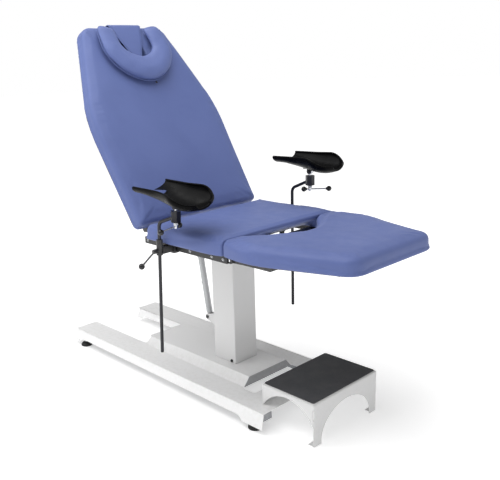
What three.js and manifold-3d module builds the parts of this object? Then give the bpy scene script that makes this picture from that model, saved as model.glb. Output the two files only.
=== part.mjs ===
// Gynaecological examination chair: a sheet-steel base with a fixed column, a seat, a reclining backrest
// on a gas spring, a fold-down leg section, two leg rests on height rods and a foot step.
// Millimetres, +X towards the feet, +Y towards the patient's left hand, +Z up. "left" is +Y.
import * as THREE from "three";
import { mergeVertices } from "three/addons/utils/BufferGeometryUtils.js";
import Module from "manifold-3d";

const wasm = await Module();
wasm.setup();

// ---- driving dimensions -------------------------------------------------------------------------
const GAP = 0.3; // clearance left between touching pieces
const BIG = 2000; // reach of a cutter that goes right through
const ROUND = 18; // sides of a turned piece

const BASE = {
  rear: -900, front: 399, halfWidth: 251, top: 85, // crease of the folded sheet
  skirtRear: -936, skirtFront: 404, skirtHalf: 266, lobeBottom: 27, skirtBottom: 34,
  sheet: 2.5, notchFront: -475, notchHalf: 141,
};
const TUNNEL = { rear: -475, rearTop: -461, front: 190, half: 143, halfTop: 112, top: 122, sheet: 2 };
const FOOT = { frontX: 340, rearX: -855, y: 236, radius: 28.5, height: 22, studTop: 66 };
const BEAM = { inner: 190, outer: 246, bottom: 42, top: BASE.top - BASE.sheet - GAP, wall: 3 };
const COLUMN = { half: 65, wall: 4, flangeHalf: 90, flange: 12, top: 645 };
const RAIL = { rear: -215, front: 270, inner: 280, outer: 288, bottom: 657, top: 684 };
const FRAME_TOP = 690; // top of the tubes that carry the boards
const BOARD = 10;
const PAD_BOTTOM = FRAME_TOP + BOARD + 2 * GAP;
const SEAT = { rear: -160, front: 279, half: 338, top: 757 };
const BACK = { pivotX: -186, pivotZ: 712, angle: 58, length: 955, gap: 12, face: 38, depth: 55 };
const LEG = { pivotX: 276, pivotZ: 670, rear: 284, front: 790, slotHalf: 190, slotDepth: 116 };
const SPRING = { footX: -158, footZ: 268, headX: -230, headZ: 700, radius: 13.5 };
const STEP = {
  rear: 337, front: 593, half: 195, top: 172, sheet: 3, standsAt: BASE.top + GAP,
  archX: 465, archHalfX: 144, archTopX: 155, archHalfY: 150, archTopY: 128,
};
// One leg rest on each side: where its clamp sits on the rail, how its rod leans and how high it stands.
const LEG_RESTS = [
  { side: "right", sign: -1, clampX: -33, lean: 3.6, bendAt: 111, barTurn: -75, barLong: 94, barShort: 22 },
  { side: "left", sign: 1, clampX: 22, lean: 0, bendAt: 141, barTurn: 42, barLong: 80, barShort: 26 },
];
const ROD = { y: 356, radius: 6.75, drop: 545, bend: 28, reach: 101, rise: 44 };
const HOLDER = { acrossFlats: 34, height: 42, post: 6, knuckle: 38, barDrop: 38 };
const SHELL = {
  head: -130, foot: 130, half: 88, flare: 20, rim: 108, drop: 38, dropFrom: 40, wall: 6, shallow: 36, deep: 74,
  openHead: -45, sideBar: 28, turn: 8,
};

// ---- materials ----------------------------------------------------------------------------------
const paint = (color, roughness, metalness = 0) =>
  new THREE.MeshStandardMaterial({ color, roughness, metalness });
const FINISH = {
  whiteSteel: () => paint(0xdcdcdc, 0.45, 0.1),
  greySteel: () => paint(0x8c8f92, 0.5, 0.6),
  blackSteel: () => paint(0x202122, 0.5, 0.3),
  chrome: () => paint(0xc9ccd0, 0.18, 1),
  vinyl: () => paint(0x6f80b2, 0.55),
  plywood: () => paint(0x4d3e30, 0.8),
  rubber: () => paint(0x1c1c1d, 0.85),
  blackPlastic: () => paint(0x232425, 0.4),
  plate: () => paint(0x6a6c6e, 0.6, 0.2),
};

// ---- solids -------------------------------------------------------------------------------------
// A closed three.js geometry as a manifold-3d solid.
function solid(geometry) {
  const loose = geometry.index ? geometry.toNonIndexed() : geometry;
  const bare = new THREE.BufferGeometry();
  bare.setAttribute("position", loose.getAttribute("position"));
  const welded = mergeVertices(bare, 1e-3);
  return new wasm.Manifold(
    new wasm.Mesh({
      numProp: 3,
      vertProperties: welded.attributes.position.array,
      triVerts: new Uint32Array(welded.index.array),
    }),
  );
}

// A manifold-3d solid as a three.js geometry.
function geometryOf(body) {
  const mesh = body.getMesh();
  const geometry = new THREE.BufferGeometry();
  geometry.setAttribute("position", new THREE.BufferAttribute(new Float32Array(mesh.vertProperties), 3));
  geometry.setIndex(new THREE.BufferAttribute(new Uint32Array(mesh.triVerts), 1));
  const flat = geometry.toNonIndexed();
  flat.computeVertexNormals();
  return flat;
}

const join = (first, ...others) => others.reduce((all, body) => all.add(body), first);
const cut = (first, ...cutters) => cutters.reduce((left, body) => left.subtract(body), first);

function box(x0, x1, y0, y1, z0, z1) {
  const block = new THREE.BoxGeometry(x1 - x0, y1 - y0, z1 - z0);
  return solid(block.translate((x0 + x1) / 2, (y0 + y1) / 2, (z0 + z1) / 2));
}

// A box on one side of the middle plane: near and far are distances from it.
const sideBox = (sign, x0, x1, near, far, z0, z1) =>
  box(x0, x1, Math.min(sign * near, sign * far), Math.max(sign * near, sign * far), z0, z1);

// A round bar between two points.
function bar(from, to, radius, sides = ROUND) {
  const start = new THREE.Vector3(...from);
  const way = new THREE.Vector3(...to).sub(start);
  const turn = new THREE.Quaternion().setFromUnitVectors(new THREE.Vector3(0, 1, 0), way.clone().normalize());
  const cylinder = new THREE.CylinderGeometry(radius, radius, way.length(), sides);
  cylinder.translate(0, way.length() / 2, 0).applyQuaternion(turn).translate(...from);
  return solid(cylinder);
}

const ball = (centre, radius) => solid(new THREE.SphereGeometry(radius, 16, 10).translate(...centre));

// A turned piece from its half profile: [radius, height] pairs, starting and ending on the axis.
const turned = (profile, sides = ROUND) =>
  solid(new THREE.LatheGeometry(profile.map(([r, z]) => new THREE.Vector2(r, z)), sides).rotateX(Math.PI / 2));

const shapeOf = (points) => new THREE.Shape(points.map(([a, b]) => new THREE.Vector2(a, b)));

const flatExtrusion = (shape, depth, curveSegments) =>
  new THREE.ExtrudeGeometry(shape, { depth, bevelEnabled: false, curveSegments });

// An outline in X and Y raised from z0 to z1.
const raised = (shape, z0, z1, curveSegments = 8) =>
  solid(flatExtrusion(shape, z1 - z0, curveSegments).translate(0, 0, z0));

// An outline in X and Z carried across from y0 to y1.
const across = (shape, y0, y1, curveSegments = 8) =>
  solid(flatExtrusion(shape, y1 - y0, curveSegments).rotateX(Math.PI / 2).translate(0, y1, 0));

// An outline in Y and Z carried along from x0 to x1.
function along(shape, x0, x1, curveSegments = 8) {
  const turn = new THREE.Matrix4().makeBasis(
    new THREE.Vector3(0, 1, 0), new THREE.Vector3(0, 0, 1), new THREE.Vector3(1, 0, 0),
  );
  return solid(flatExtrusion(shape, x1 - x0, curveSegments).applyMatrix4(turn).translate(x0, 0, 0));
}

// A plate on one side of the middle plane, from an outline in X and Z.
const sidePlate = (sign, shape, near, far) =>
  across(shape, Math.min(sign * near, sign * far), Math.max(sign * near, sign * far));

// A hull between two rectangles at two heights: [x0, x1, half width, z].
function tapered([ax, bx, ay, az], [cx, dx, cy, cz]) {
  const low = [[ax, -ay, az], [bx, -ay, az], [bx, ay, az], [ax, ay, az]];
  const high = [[cx, -cy, cz], [dx, -cy, cz], [dx, cy, cz], [cx, cy, cz]];
  const corners = [...low, ...high];
  const faces = [[3, 2, 1, 0], [4, 5, 6, 7], [0, 1, 5, 4], [1, 2, 6, 5], [2, 3, 7, 6], [3, 0, 4, 7]];
  const places = faces.flatMap(([a, b, c, d]) => [a, b, c, a, c, d]).flatMap((i) => corners[i]);
  const geometry = new THREE.BufferGeometry();
  geometry.setAttribute("position", new THREE.BufferAttribute(new Float32Array(places), 3));
  return solid(geometry);
}

// A padded slab: an outline in X and Y with its upper and lower edges eased.
function pad(shape, z0, z1, ease, curveSegments) {
  const slab = new THREE.ExtrudeGeometry(shape, {
    depth: z1 - z0 - 2 * ease, curveSegments,
    bevelThickness: ease, bevelSize: ease, bevelOffset: -ease, bevelSegments: 1,
  });
  return solid(slab.translate(0, 0, z0 + ease));
}

// ---- the scene ----------------------------------------------------------------------------------
const chair = new THREE.Group();

function add(parent, name, body, finish) {
  const mesh = new THREE.Mesh(geometryOf(body), finish());
  mesh.name = name;
  parent.add(mesh);
}

function group(parent, position = [0, 0, 0], turnY = 0) {
  const made = new THREE.Group();
  made.position.set(...position);
  made.rotation.y = THREE.MathUtils.degToRad(turnY);
  parent.add(made);
  return made;
}

const SIDES = [["right", -1], ["left", 1]];

// ---- base ---------------------------------------------------------------------------------------
// The folded cover: a flat top with flared skirts, open in front and below, with a deep notch behind.
function baseCover() {
  const { sheet, top, lobeBottom: low } = BASE;
  const flare = (BASE.skirtHalf - BASE.halfWidth) / (top - low);
  const outer = tapered(
    [BASE.skirtRear, BASE.skirtFront, BASE.skirtHalf, low],
    [BASE.rear, BASE.front, BASE.halfWidth, top],
  );
  const hollow = tapered(
    [BASE.skirtRear + sheet, BIG, BASE.skirtHalf - sheet + flare, low - 1],
    [BASE.rear + sheet, BIG, BASE.halfWidth - sheet, top - sheet],
  );
  const notch = (grow) =>
    box(-BIG, BASE.notchFront + grow, -BASE.notchHalf - grow, BASE.notchHalf + grow, 0, BIG);
  const raisedEdge = shapeOf([
    [BASE.rear + 16, 0], [BASE.rear + 16, low + 1], [BASE.rear + 36, BASE.skirtBottom],
    [275, BASE.skirtBottom], [295, low + 1], [295, 0],
  ]);
  const window = rectangle(187, 255, 150, 14);
  return cut(
    outer,
    notch(0),
    cut(hollow, notch(sheet)),
    across(raisedEdge, -BIG, BIG),
    raised(window, top - 2 * sheet, top + sheet),
  );
}

// A rectangle across the middle plane with rounded corners.
function rectangle(x0, x1, half, radius) {
  const shape = new THREE.Shape();
  shape.moveTo(x0 + radius, -half);
  shape.lineTo(x1 - radius, -half);
  shape.absarc(x1 - radius, -half + radius, radius, -Math.PI / 2, 0);
  shape.absarc(x1 - radius, half - radius, radius, 0, Math.PI / 2);
  shape.absarc(x0 + radius, half - radius, radius, Math.PI / 2, Math.PI);
  shape.absarc(x0 + radius, -half + radius, radius, Math.PI, (3 * Math.PI) / 2);
  return shape;
}

// The raised middle of the deck, with a square hole for the column.
function tunnelCover() {
  const { sheet } = TUNNEL;
  const foot = BASE.top + GAP;
  const outer = tapered(
    [TUNNEL.rear, TUNNEL.front, TUNNEL.half, foot],
    [TUNNEL.rearTop, TUNNEL.front, TUNNEL.halfTop, TUNNEL.top],
  );
  const slope = ((TUNNEL.half - TUNNEL.halfTop) / (TUNNEL.top - foot)) * sheet;
  const hollow = tapered(
    [TUNNEL.rear + sheet, BIG, TUNNEL.half - sheet + slope, foot - 1],
    [TUNNEL.rearTop + sheet, BIG, TUNNEL.halfTop - sheet, TUNNEL.top - sheet],
  );
  const hole = COLUMN.half + 2 * GAP;
  return cut(outer, hollow, box(-hole, hole, -hole, hole, 0, BIG));
}

function tunnelFrontPlate() {
  const foot = BASE.top + GAP;
  const inset = 1;
  const shape = shapeOf([
    [-TUNNEL.half + inset, foot], [TUNNEL.half - inset, foot],
    [TUNNEL.halfTop - inset, TUNNEL.top - inset], [-TUNNEL.halfTop + inset, TUNNEL.top - inset],
  ]);
  return along(shape, TUNNEL.front + GAP, TUNNEL.front + GAP + TUNNEL.sheet);
}

// The welded frame under the cover: channels open below, with a tapped web over each foot.
function underframe() {
  const { inner, outer, bottom, top, wall } = BEAM;
  const crossMembers = [[-460, -420], [-90, 90], [290, 330]];
  const channel = (x0, x1, y0, y1) => [
    box(x0, x1, y0, y1, bottom, top),
    box(x0 + wall, x1 - wall, y0 + wall, y1 - wall, bottom - 1, top - wall),
  ];
  const pieces = [
    ...SIDES.map(([, sign]) => channel(-885, 385, ...[sign * inner, sign * outer].sort((a, b) => a - b))),
    ...crossMembers.map(([x0, x1]) => channel(x0, x1, -inner - wall, inner + wall)),
  ];
  const skin = join(...pieces.map(([full]) => full));
  const webs = [];
  for (const x of [FOOT.rearX, FOOT.frontX])
    for (const [, sign] of SIDES) {
      const web = sideBox(sign, x - 25, x + 25, inner + 1, outer - 1, bottom, bottom + 8);
      webs.push(cut(web, bar([x, sign * FOOT.y, 0], [x, sign * FOOT.y, top], 6 + GAP)));
    }
  return join(cut(skin, ...pieces.map(([, room]) => room)), ...webs);
}

// A rubber pad moulded on a threaded stud.
const levellingFoot = () =>
  turned([
    [0, 0], [FOOT.radius, 0], [FOOT.radius, 7], [FOOT.radius - 3, FOOT.height - 2], [12, FOOT.height],
    [6, FOOT.height], [6, FOOT.studTop], [0, FOOT.studTop],
  ]);

add(chair, "base_cover", baseCover(), FINISH.whiteSteel);
add(chair, "tunnel_cover", tunnelCover(), FINISH.whiteSteel);
add(chair, "tunnel_front_plate", tunnelFrontPlate(), FINISH.plate);
add(chair, "underframe", underframe(), FINISH.greySteel);
for (const [end, x] of [["front", FOOT.frontX], ["rear", FOOT.rearX]])
  for (const [side, sign] of SIDES)
    add(group(chair, [x, sign * FOOT.y, 0]), `foot_${end}_${side}`, levellingFoot(), FINISH.rubber);

// ---- column -------------------------------------------------------------------------------------
function column() {
  const foot = BASE.top + GAP;
  const { half, wall, flangeHalf, flange, top } = COLUMN;
  const tube = raised(rectangle(-half, half, half, 5), foot, top, 3);
  const plate = box(-flangeHalf, flangeHalf, -flangeHalf, flangeHalf, foot, foot + flange);
  return cut(join(tube, plate), box(wall - half, half - wall, wall - half, half - wall, 0, BIG));
}
add(chair, "column", column(), FINISH.whiteSteel);

// ---- seat ---------------------------------------------------------------------------------------
// The top plate of the column with the two channels that carry the seat and the rails.
function seatFrame() {
  const plateBottom = COLUMN.top + GAP;
  const plateTop = RAIL.bottom + 1;
  const plate = box(-140, 256, -75, 75, plateBottom, plateTop);
  const reach = RAIL.inner - 8.6;
  const wall = 3;
  const channels = [[-130, -90], [222, 258]].map(([x0, x1]) =>
    cut(
      box(x0, x1, -reach, reach, RAIL.bottom, FRAME_TOP),
      box(x0 + wall, x1 - wall, -reach + wall, reach - wall, plateTop, FRAME_TOP - wall),
      ...SIDES.map(([, sign]) =>
        sideBox(sign, x0 + wall, x1 - wall, 80, reach - wall, RAIL.bottom - 1, FRAME_TOP - wall)),
    ),
  );
  return join(plate, ...channels);
}

// A flat rail that accessories clamp on; a round spacer behind it stands off the rear channel.
function sideRail(sign) {
  const middle = (RAIL.bottom + RAIL.top) / 2;
  const flat = sideBox(sign, RAIL.rear, RAIL.front, RAIL.inner, RAIL.outer, RAIL.bottom, RAIL.top);
  const spacer = bar([-110, sign * (RAIL.inner - 8), middle], [-110, sign * (RAIL.inner + 1), middle], 7);
  const screws = [-195, -110, 67, 190, 250].map((x) =>
    bar([x, sign * (RAIL.outer - 1), middle], [x, sign * (RAIL.outer + 2.5), middle], 6, 12));
  return join(flat, spacer, ...screws);
}

function eye(x, z, radius) {
  const shape = new THREE.Shape();
  shape.absarc(x, z, radius, 0, 2 * Math.PI);
  return shape;
}

// A lug on the inside of the rail whose round ear holds a hinge pin.
function hingeBracket(sign, x0, x1, pinX, pinZ, radius) {
  const inner = RAIL.inner - 8.3;
  const outer = RAIL.inner - GAP;
  const flat = sidePlate(sign, shapeOf([[x0, RAIL.bottom], [x1, RAIL.bottom], [x1, RAIL.top], [x0, RAIL.top]]),
    inner, outer);
  const neck = sidePlate(sign, shapeOf([
    [pinX - radius, RAIL.bottom + 5], [pinX + radius, RAIL.bottom + 5], [pinX + radius, pinZ], [pinX - radius, pinZ],
  ]), inner, outer);
  const ear = sidePlate(sign, eye(pinX, pinZ, radius), inner, outer);
  const hole = sidePlate(sign, eye(pinX, pinZ, PIN + GAP), inner - 1, outer + 1);
  return cut(join(flat, neck, ear), hole);
}

const PIN = 5; // radius of the hinge pins
const ARM = { near: RAIL.inner - 16.9, far: RAIL.inner - 8.9 }; // hinged arms run inside the brackets

// A hinge pin with a flat head inside the arm; its outer end is flush with the bracket or past the rail.
function hingePin(sign, x, z, outerEnd) {
  const shaft = bar([x, sign * (ARM.near - 1), z], [x, sign * outerEnd, z], PIN);
  const head = bar([x, sign * (ARM.near - 5), z], [x, sign * (ARM.near - 0.6), z], 8.5, 6);
  return join(shaft, head);
}

// The seat outline: rounded corners behind, drawn in a little towards the seam with the leg section.
function seatOutline(inset) {
  const { rear, front, half } = SEAT;
  const corner = 26;
  const side = half - inset;
  const shape = new THREE.Shape();
  shape.moveTo(rear + inset + corner, -side);
  shape.lineTo(150, -side);
  shape.quadraticCurveTo(front - inset - 30, -side, front - inset, -side + 16);
  shape.lineTo(front - inset, side - 16);
  shape.quadraticCurveTo(front - inset - 30, side, 150, side);
  shape.lineTo(rear + inset + corner, side);
  shape.quadraticCurveTo(rear + inset, side, rear + inset, side - corner);
  shape.lineTo(rear + inset, -side + corner);
  shape.quadraticCurveTo(rear + inset, -side, rear + inset + corner, -side);
  return shape;
}

add(chair, "seat_frame", seatFrame(), FINISH.blackSteel);
for (const [side, sign] of SIDES) {
  add(chair, `side_rail_${side}`, sideRail(sign), FINISH.blackSteel);
  add(chair, `backrest_bracket_${side}`, hingeBracket(sign, RAIL.rear, -150, BACK.pivotX, BACK.pivotZ, 10.5),
    FINISH.blackSteel);
  add(chair, `backrest_pin_${side}`, hingePin(sign, BACK.pivotX, BACK.pivotZ, RAIL.outer), FINISH.chrome);
  add(chair, `leg_bracket_${side}`, hingeBracket(sign, 225, 282, LEG.pivotX, LEG.pivotZ, 13), FINISH.blackSteel);
  add(chair, `leg_pin_${side}`, hingePin(sign, LEG.pivotX, LEG.pivotZ, RAIL.inner + 3), FINISH.chrome);
}
// Over the slot the board stops short and the cushion is cut away below, so the slot drains and lets light by.
const SEAT_LIP = { boardFront: 188, from: 208, bottom: 738, half: 225 };
const seatBoard = cut(
  raised(seatOutline(12), FRAME_TOP + GAP, FRAME_TOP + GAP + BOARD, 4),
  box(SEAT_LIP.boardFront, BIG, -BIG, BIG, 0, BIG),
);
const seatCushion = cut(
  pad(seatOutline(0), PAD_BOTTOM, SEAT.top, 14, 5),
  across(
    shapeOf([[SEAT_LIP.from, FRAME_TOP], [SEAT.front + 8, FRAME_TOP], [SEAT.front + 8, SEAT_LIP.bottom],
      [SEAT_LIP.from, PAD_BOTTOM]]),
    -SEAT_LIP.half, SEAT_LIP.half,
  ),
);
add(chair, "seat_board", seatBoard, FINISH.plywood);
add(chair, "seat_cushion", seatCushion, FINISH.vinyl);

// ---- backrest -----------------------------------------------------------------------------------
// Everything on the backrest is drawn lying flat, with the hinge pin at the origin and the head at -X.
const backrest = group(chair, [BACK.pivotX, 0, BACK.pivotZ], BACK.angle);
const BACK_PAD = { low: BACK.face - BACK.depth, high: BACK.face };
const BACK_BOARD = { low: BACK_PAD.low - GAP - BOARD, high: BACK_PAD.low - GAP };
const BACK_TUBE = { low: -58, high: BACK_BOARD.low - GAP };
const FACE_HOLE = { x: -815, halfLength: 72, halfWidth: 58 };

// The backrest narrows from just above its middle to the head end.
function backOutline(inset) {
  const end = BACK.length - inset;
  const start = BACK.gap + inset;
  const shape = new THREE.Shape();
  const side = (sign) => [
    [start + 24, sign * (345 - inset)], [430, sign * (358 - inset)], [545, sign * (359 - inset)],
    [620, sign * (330 - inset)], [end - 50, sign * (244 - inset)], [end - 8, sign * (230 - inset)],
    [end, sign * (190 - inset)],
  ];
  const [a, b, c, d, e, f, g] = side(-1);
  const [h, i, j, k, l, m, n] = side(1);
  shape.moveTo(-start, a[1] + 24);
  shape.quadraticCurveTo(-start, a[1], -a[0], a[1]);
  shape.lineTo(-b[0], b[1]);
  shape.quadraticCurveTo(-c[0], c[1], -d[0], d[1]);
  shape.lineTo(-e[0], e[1]);
  shape.quadraticCurveTo(-f[0], f[1], -g[0], g[1]);
  shape.lineTo(-n[0], n[1]);
  shape.quadraticCurveTo(-m[0], m[1], -l[0], l[1]);
  shape.lineTo(-k[0], k[1]);
  shape.quadraticCurveTo(-j[0], j[1], -i[0], i[1]);
  shape.lineTo(-h[0], h[1]);
  shape.quadraticCurveTo(-start, h[1], -start, h[1] - 24);
  return shape;
}

// The oval hollow in the head end of the cushion, closed below by the board.
function faceHole() {
  const hole = new THREE.Shape();
  hole.absellipse(FACE_HOLE.x, 0, FACE_HOLE.halfLength, FACE_HOLE.halfWidth, 0, 2 * Math.PI);
  return raised(hole, -BIG, BIG, 20);
}

// Two long channels joined by two cross members, with a hook at each hinge pin.
function backrestFrame() {
  const { low, high } = BACK_TUBE;
  const wall = 3;
  const pieces = SIDES.flatMap(([, sign]) => {
    const tube = cut(
      sideBox(sign, -700, -40, 235, ARM.far, low, high),
      sideBox(sign, -700 + wall, -40 - wall, 235 + wall, ARM.far - wall, low - 1, high - wall),
    );
    const hook = sidePlate(sign, shapeOf([
      [-60, low], [-16, low], [10.4, -4], [-10.4, 0], [-10.4, high], [-60, high],
    ]), ARM.near, ARM.far);
    const ear = sidePlate(sign, eye(0, 0, 10.5), ARM.near, ARM.far);
    return [cut(join(hook, ear, tube), sidePlate(sign, eye(0, 0, PIN + GAP), ARM.near - 1, ARM.far + 1))];
  });
  const cross = [[-78, -42], [-690, -650]].map(([x0, x1]) =>
    cut(
      box(x0, x1, -236, 236, low, high),
      box(x0 + wall, x1 - wall, -236 + wall, 236 - wall, low - 1, high - wall),
    ));
  return join(...pieces, ...cross);
}

// A fork for the upper eye of the gas spring. Its bolt is two stubs that stop short of the eye.
function springUpperBracket(tip) {
  const back = [-41.7, -36];
  const cheek = (sign) => {
    const plate = sidePlate(sign, shapeOf([
      [back[0], tip[1] - 11], [tip[0], tip[1] - 11], [tip[0], tip[1] + 11], [back[0], tip[1] + 11],
    ]), 12, 16);
    const round = sidePlate(sign, eye(tip[0], tip[1], 11), 12, 16);
    const stub = bar([tip[0], sign * 7.8, tip[1]], [tip[0], sign * 20, tip[1]], 4);
    const head = bar([tip[0], sign * 15.5, tip[1]], [tip[0], sign * 20, tip[1]], 8, 6);
    return join(plate, round, stub, head);
  };
  return join(box(back[0], back[1], -16, 16, tip[1] - 11, tip[1] + 11), cheek(-1), cheek(1));
}

// Where the gas spring's upper eye sits on the flat-drawn backrest.
function springTip() {
  const turn = THREE.MathUtils.degToRad(-BACK.angle);
  const x = SPRING.headX - BACK.pivotX;
  const z = SPRING.headZ - BACK.pivotZ;
  return [x * Math.cos(turn) + z * Math.sin(turn), -x * Math.sin(turn) + z * Math.cos(turn)];
}

// A tapering flap over the face hole, folded over the head end and down the back of the board.
function headStrap() {
  const thick = 3.5;
  const end = -BACK.length;
  const clear = 1;
  const front = raised(shapeOf([[end - clear, -85], [end - clear, 85], [-770, 22], [-752, 0], [-770, -22]]),
    BACK.face + GAP, BACK.face + GAP + thick);
  const edge = box(end - clear - thick, end - clear + 0.5, -85, 85, BACK_BOARD.low - GAP - thick,
    BACK.face + GAP + thick);
  const back = box(end - clear, end + 120, -85, 85, BACK_BOARD.low - GAP - thick, BACK_BOARD.low - GAP);
  return join(front, edge, back);
}
const STRAP_TOP = BACK.face + GAP + 3.5;

// A horseshoe head pillow, open towards the head end: a thick tube bent along its middle line.
const PILLOW = {
  halfWidth: 47, height: 50,
  line: [[-942, 106], [-865, 130], [-785, 144], [-712, 126], [-672, 70]],
};
function headPillow() {
  const sides = 12;
  const steps = 22;
  const middle = STRAP_TOP + GAP + PILLOW.height / 2;
  const path = new THREE.CatmullRomCurve3([
    ...PILLOW.line.map(([x, y]) => new THREE.Vector3(x, -y, middle)),
    new THREE.Vector3(-658, 0, middle),
    ...[...PILLOW.line].reverse().map(([x, y]) => new THREE.Vector3(x, y, middle)),
  ]);
  const squarer = (value) => Math.sign(value) * Math.abs(value) ** 0.75;
  const rings = Array.from({ length: steps + 1 }, (_, i) => {
    const run = i / steps;
    const centre = path.getPoint(run);
    const tangent = path.getTangent(run);
    const outward = new THREE.Vector3(-tangent.y, tangent.x, 0);
    const taper = 1 - 0.4 * Math.abs(2 * run - 1) ** 8;
    return Array.from({ length: sides }, (_, j) => {
      const angle = (2 * Math.PI * (j + 0.5)) / sides;
      return centre.clone()
        .addScaledVector(outward, PILLOW.halfWidth * taper * squarer(Math.cos(angle)))
        .add(new THREE.Vector3(0, 0, (PILLOW.height / 2) * squarer(Math.sin(angle))));
    });
  });
  return loft(rings);
}

add(backrest, "backrest_frame", backrestFrame(), FINISH.blackSteel);
add(backrest, "backrest_board", raised(backOutline(12), BACK_BOARD.low, BACK_BOARD.high, 4), FINISH.plywood);
add(backrest, "backrest_cushion", cut(pad(backOutline(0), BACK_PAD.low, BACK_PAD.high, 14, 5), faceHole()),
  FINISH.vinyl);
add(backrest, "spring_upper_bracket", springUpperBracket(springTip()), FINISH.blackSteel);
add(backrest, "head_strap", headStrap(), FINISH.vinyl);
add(backrest, "head_pillow", headPillow(), FINISH.vinyl);

// ---- gas spring ---------------------------------------------------------------------------------
// Drawn upright with its lower pin at the origin, then leaned back to reach the backrest.
const springWay = [SPRING.headX - SPRING.footX, SPRING.headZ - SPRING.footZ];
const springLength = Math.hypot(...springWay);
const springLean = THREE.MathUtils.radToDeg(Math.atan2(springWay[0], springWay[1]));
const spring = group(chair, [SPRING.footX, 0, SPRING.footZ], springLean);
const TUBE_TOP = 292;

function springCylinder() {
  const outside = turned([[0, 12], [8, 12], [14, 20], [14, 38], [SPRING.radius, 41],
    [SPRING.radius, TUBE_TOP], [0, TUBE_TOP]]);
  const bore = turned([[0, 100], [8.6, 100], [8.6, TUBE_TOP - 10], [5.4, TUBE_TOP - 10], [5.4, TUBE_TOP + 5],
    [0, TUBE_TOP + 5]]);
  const lowerEye = across(eye(0, 0, 12), -6.5, 6.5);
  const neck = box(-7, 7, -6.5, 6.5, 2, 18);
  return cut(join(outside, lowerEye, neck), bore, across(eye(0, 0, PIN + GAP), -10, 10));
}

function springRod() {
  const rod = turned([[0, 140], [8.2, 140], [8.2, 150], [5, 150], [5, springLength - 6], [0, springLength - 6]]);
  return join(rod, across(eye(0, springLength, 9), -6.5, 6.5));
}

// A fork on the back of the column for the lower eye.
function springLowerBracket() {
  const back = -COLUMN.half - GAP;
  const cheeks = SIDES.map(([, sign]) =>
    join(
      sidePlate(sign, shapeOf([[back, 222], [back, 306], [SPRING.footX, SPRING.footZ + 13],
        [SPRING.footX - 6, SPRING.footZ - 12]]), 12, 16),
      sidePlate(sign, eye(SPRING.footX, SPRING.footZ, 13.5), 12, 16),
    ));
  const plate = box(back - 5, back, -26, 26, 215, 312);
  const hole = across(eye(SPRING.footX, SPRING.footZ, PIN + GAP), -30, 30);
  return cut(join(plate, ...cheeks), hole);
}

function springPin() {
  const at = (y) => [SPRING.footX, y, SPRING.footZ];
  return join(bar(at(-16.3), at(21), PIN), bar(at(-20), at(-16.3), 8.5, 6), bar(at(16.4), at(20), 8.5, 6));
}

add(spring, "spring_cylinder", springCylinder(), FINISH.chrome);
add(spring, "spring_rod", springRod(), FINISH.chrome);
add(spring, "release_rod", bar([-SPRING.radius - 3.4, 0, 140], [-SPRING.radius - 3.4, 0, 286], 3, 10),
  FINISH.blackSteel);
add(chair, "spring_lower_bracket", springLowerBracket(), FINISH.whiteSteel);
add(chair, "spring_pin", springPin(), FINISH.blackSteel);

// ---- leg section --------------------------------------------------------------------------------
// The leg pad has a rounded bay behind that makes the slot, and tapers to its rounded front corners.
function legOutline(inset) {
  const rear = LEG.rear + inset;
  const front = LEG.front - inset;
  const bay = LEG.slotHalf + inset * 0.3;
  const depth = LEG.slotDepth;
  const shape = new THREE.Shape();
  shape.moveTo(rear, -321 + inset);
  shape.quadraticCurveTo(330, -337 + inset, 400, -338 + inset);
  shape.quadraticCurveTo(480, -338 + inset, 545, -309 + inset);
  shape.lineTo(front - 46, -247 + inset);
  shape.quadraticCurveTo(front, -230 + inset, front, -180 + inset);
  shape.lineTo(front, 180 - inset);
  shape.quadraticCurveTo(front, 230 - inset, front - 46, 247 - inset);
  shape.lineTo(545, 309 - inset);
  shape.quadraticCurveTo(480, 338 - inset, 400, 338 - inset);
  shape.quadraticCurveTo(330, 337 - inset, rear, 321 - inset);
  shape.lineTo(rear, bay + 12);
  shape.bezierCurveTo(rear + 12, bay - 20, rear + depth, bay * 0.5, rear + depth, 0);
  shape.bezierCurveTo(rear + depth, -bay * 0.5, rear + 12, -bay + 20, rear, -bay - 12);
  return shape;
}

// Two arms on the hinge pins, a cross member between them and a narrower frame under the front of the pad.
function legFrame() {
  const wall = 3;
  const low = RAIL.bottom + 4;
  const arms = SIDES.map(([, sign]) => {
    const tube = cut(
      sideBox(sign, 300, 465, 234, ARM.far, low, FRAME_TOP),
      sideBox(sign, 300 + wall, 465 - wall, 234 + wall, ARM.far - wall, low - 1, FRAME_TOP - wall),
    );
    const plate = sidePlate(sign, shapeOf([
      [LEG.pivotX, LEG.pivotZ - 12], [330, low], [330, FRAME_TOP], [LEG.pivotX, LEG.pivotZ + 12],
    ]), ARM.near, ARM.far);
    const ear = sidePlate(sign, eye(LEG.pivotX, LEG.pivotZ, 12.5), ARM.near, ARM.far);
    const hole = sidePlate(sign, eye(LEG.pivotX, LEG.pivotZ, PIN + GAP), ARM.near - 1, ARM.far + 1);
    return cut(join(plate, ear, tube), hole);
  });
  const cross = [[430, 465, 235], [640, 675, 165]].map(([x0, x1, half]) =>
    cut(
      box(x0, x1, -half, half, low, FRAME_TOP),
      box(x0 + wall, x1 - wall, -half + wall, half - wall, low - 1, FRAME_TOP - wall),
    ));
  const runners = SIDES.map(([, sign]) =>
    cut(
      sideBox(sign, 464, 641, 130, 165, low, FRAME_TOP),
      sideBox(sign, 464 + wall, 641 - wall, 130 + wall, 165 - wall, low - 1, FRAME_TOP - wall),
    ));
  return join(...arms, ...cross, ...runners);
}

add(chair, "leg_frame", legFrame(), FINISH.blackSteel);
add(chair, "leg_board", raised(legOutline(12), FRAME_TOP + GAP, FRAME_TOP + GAP + BOARD, 5), FINISH.plywood);
add(chair, "leg_cushion", pad(legOutline(0), PAD_BOTTOM, SEAT.top, 14, 6), FINISH.vinyl);

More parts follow.
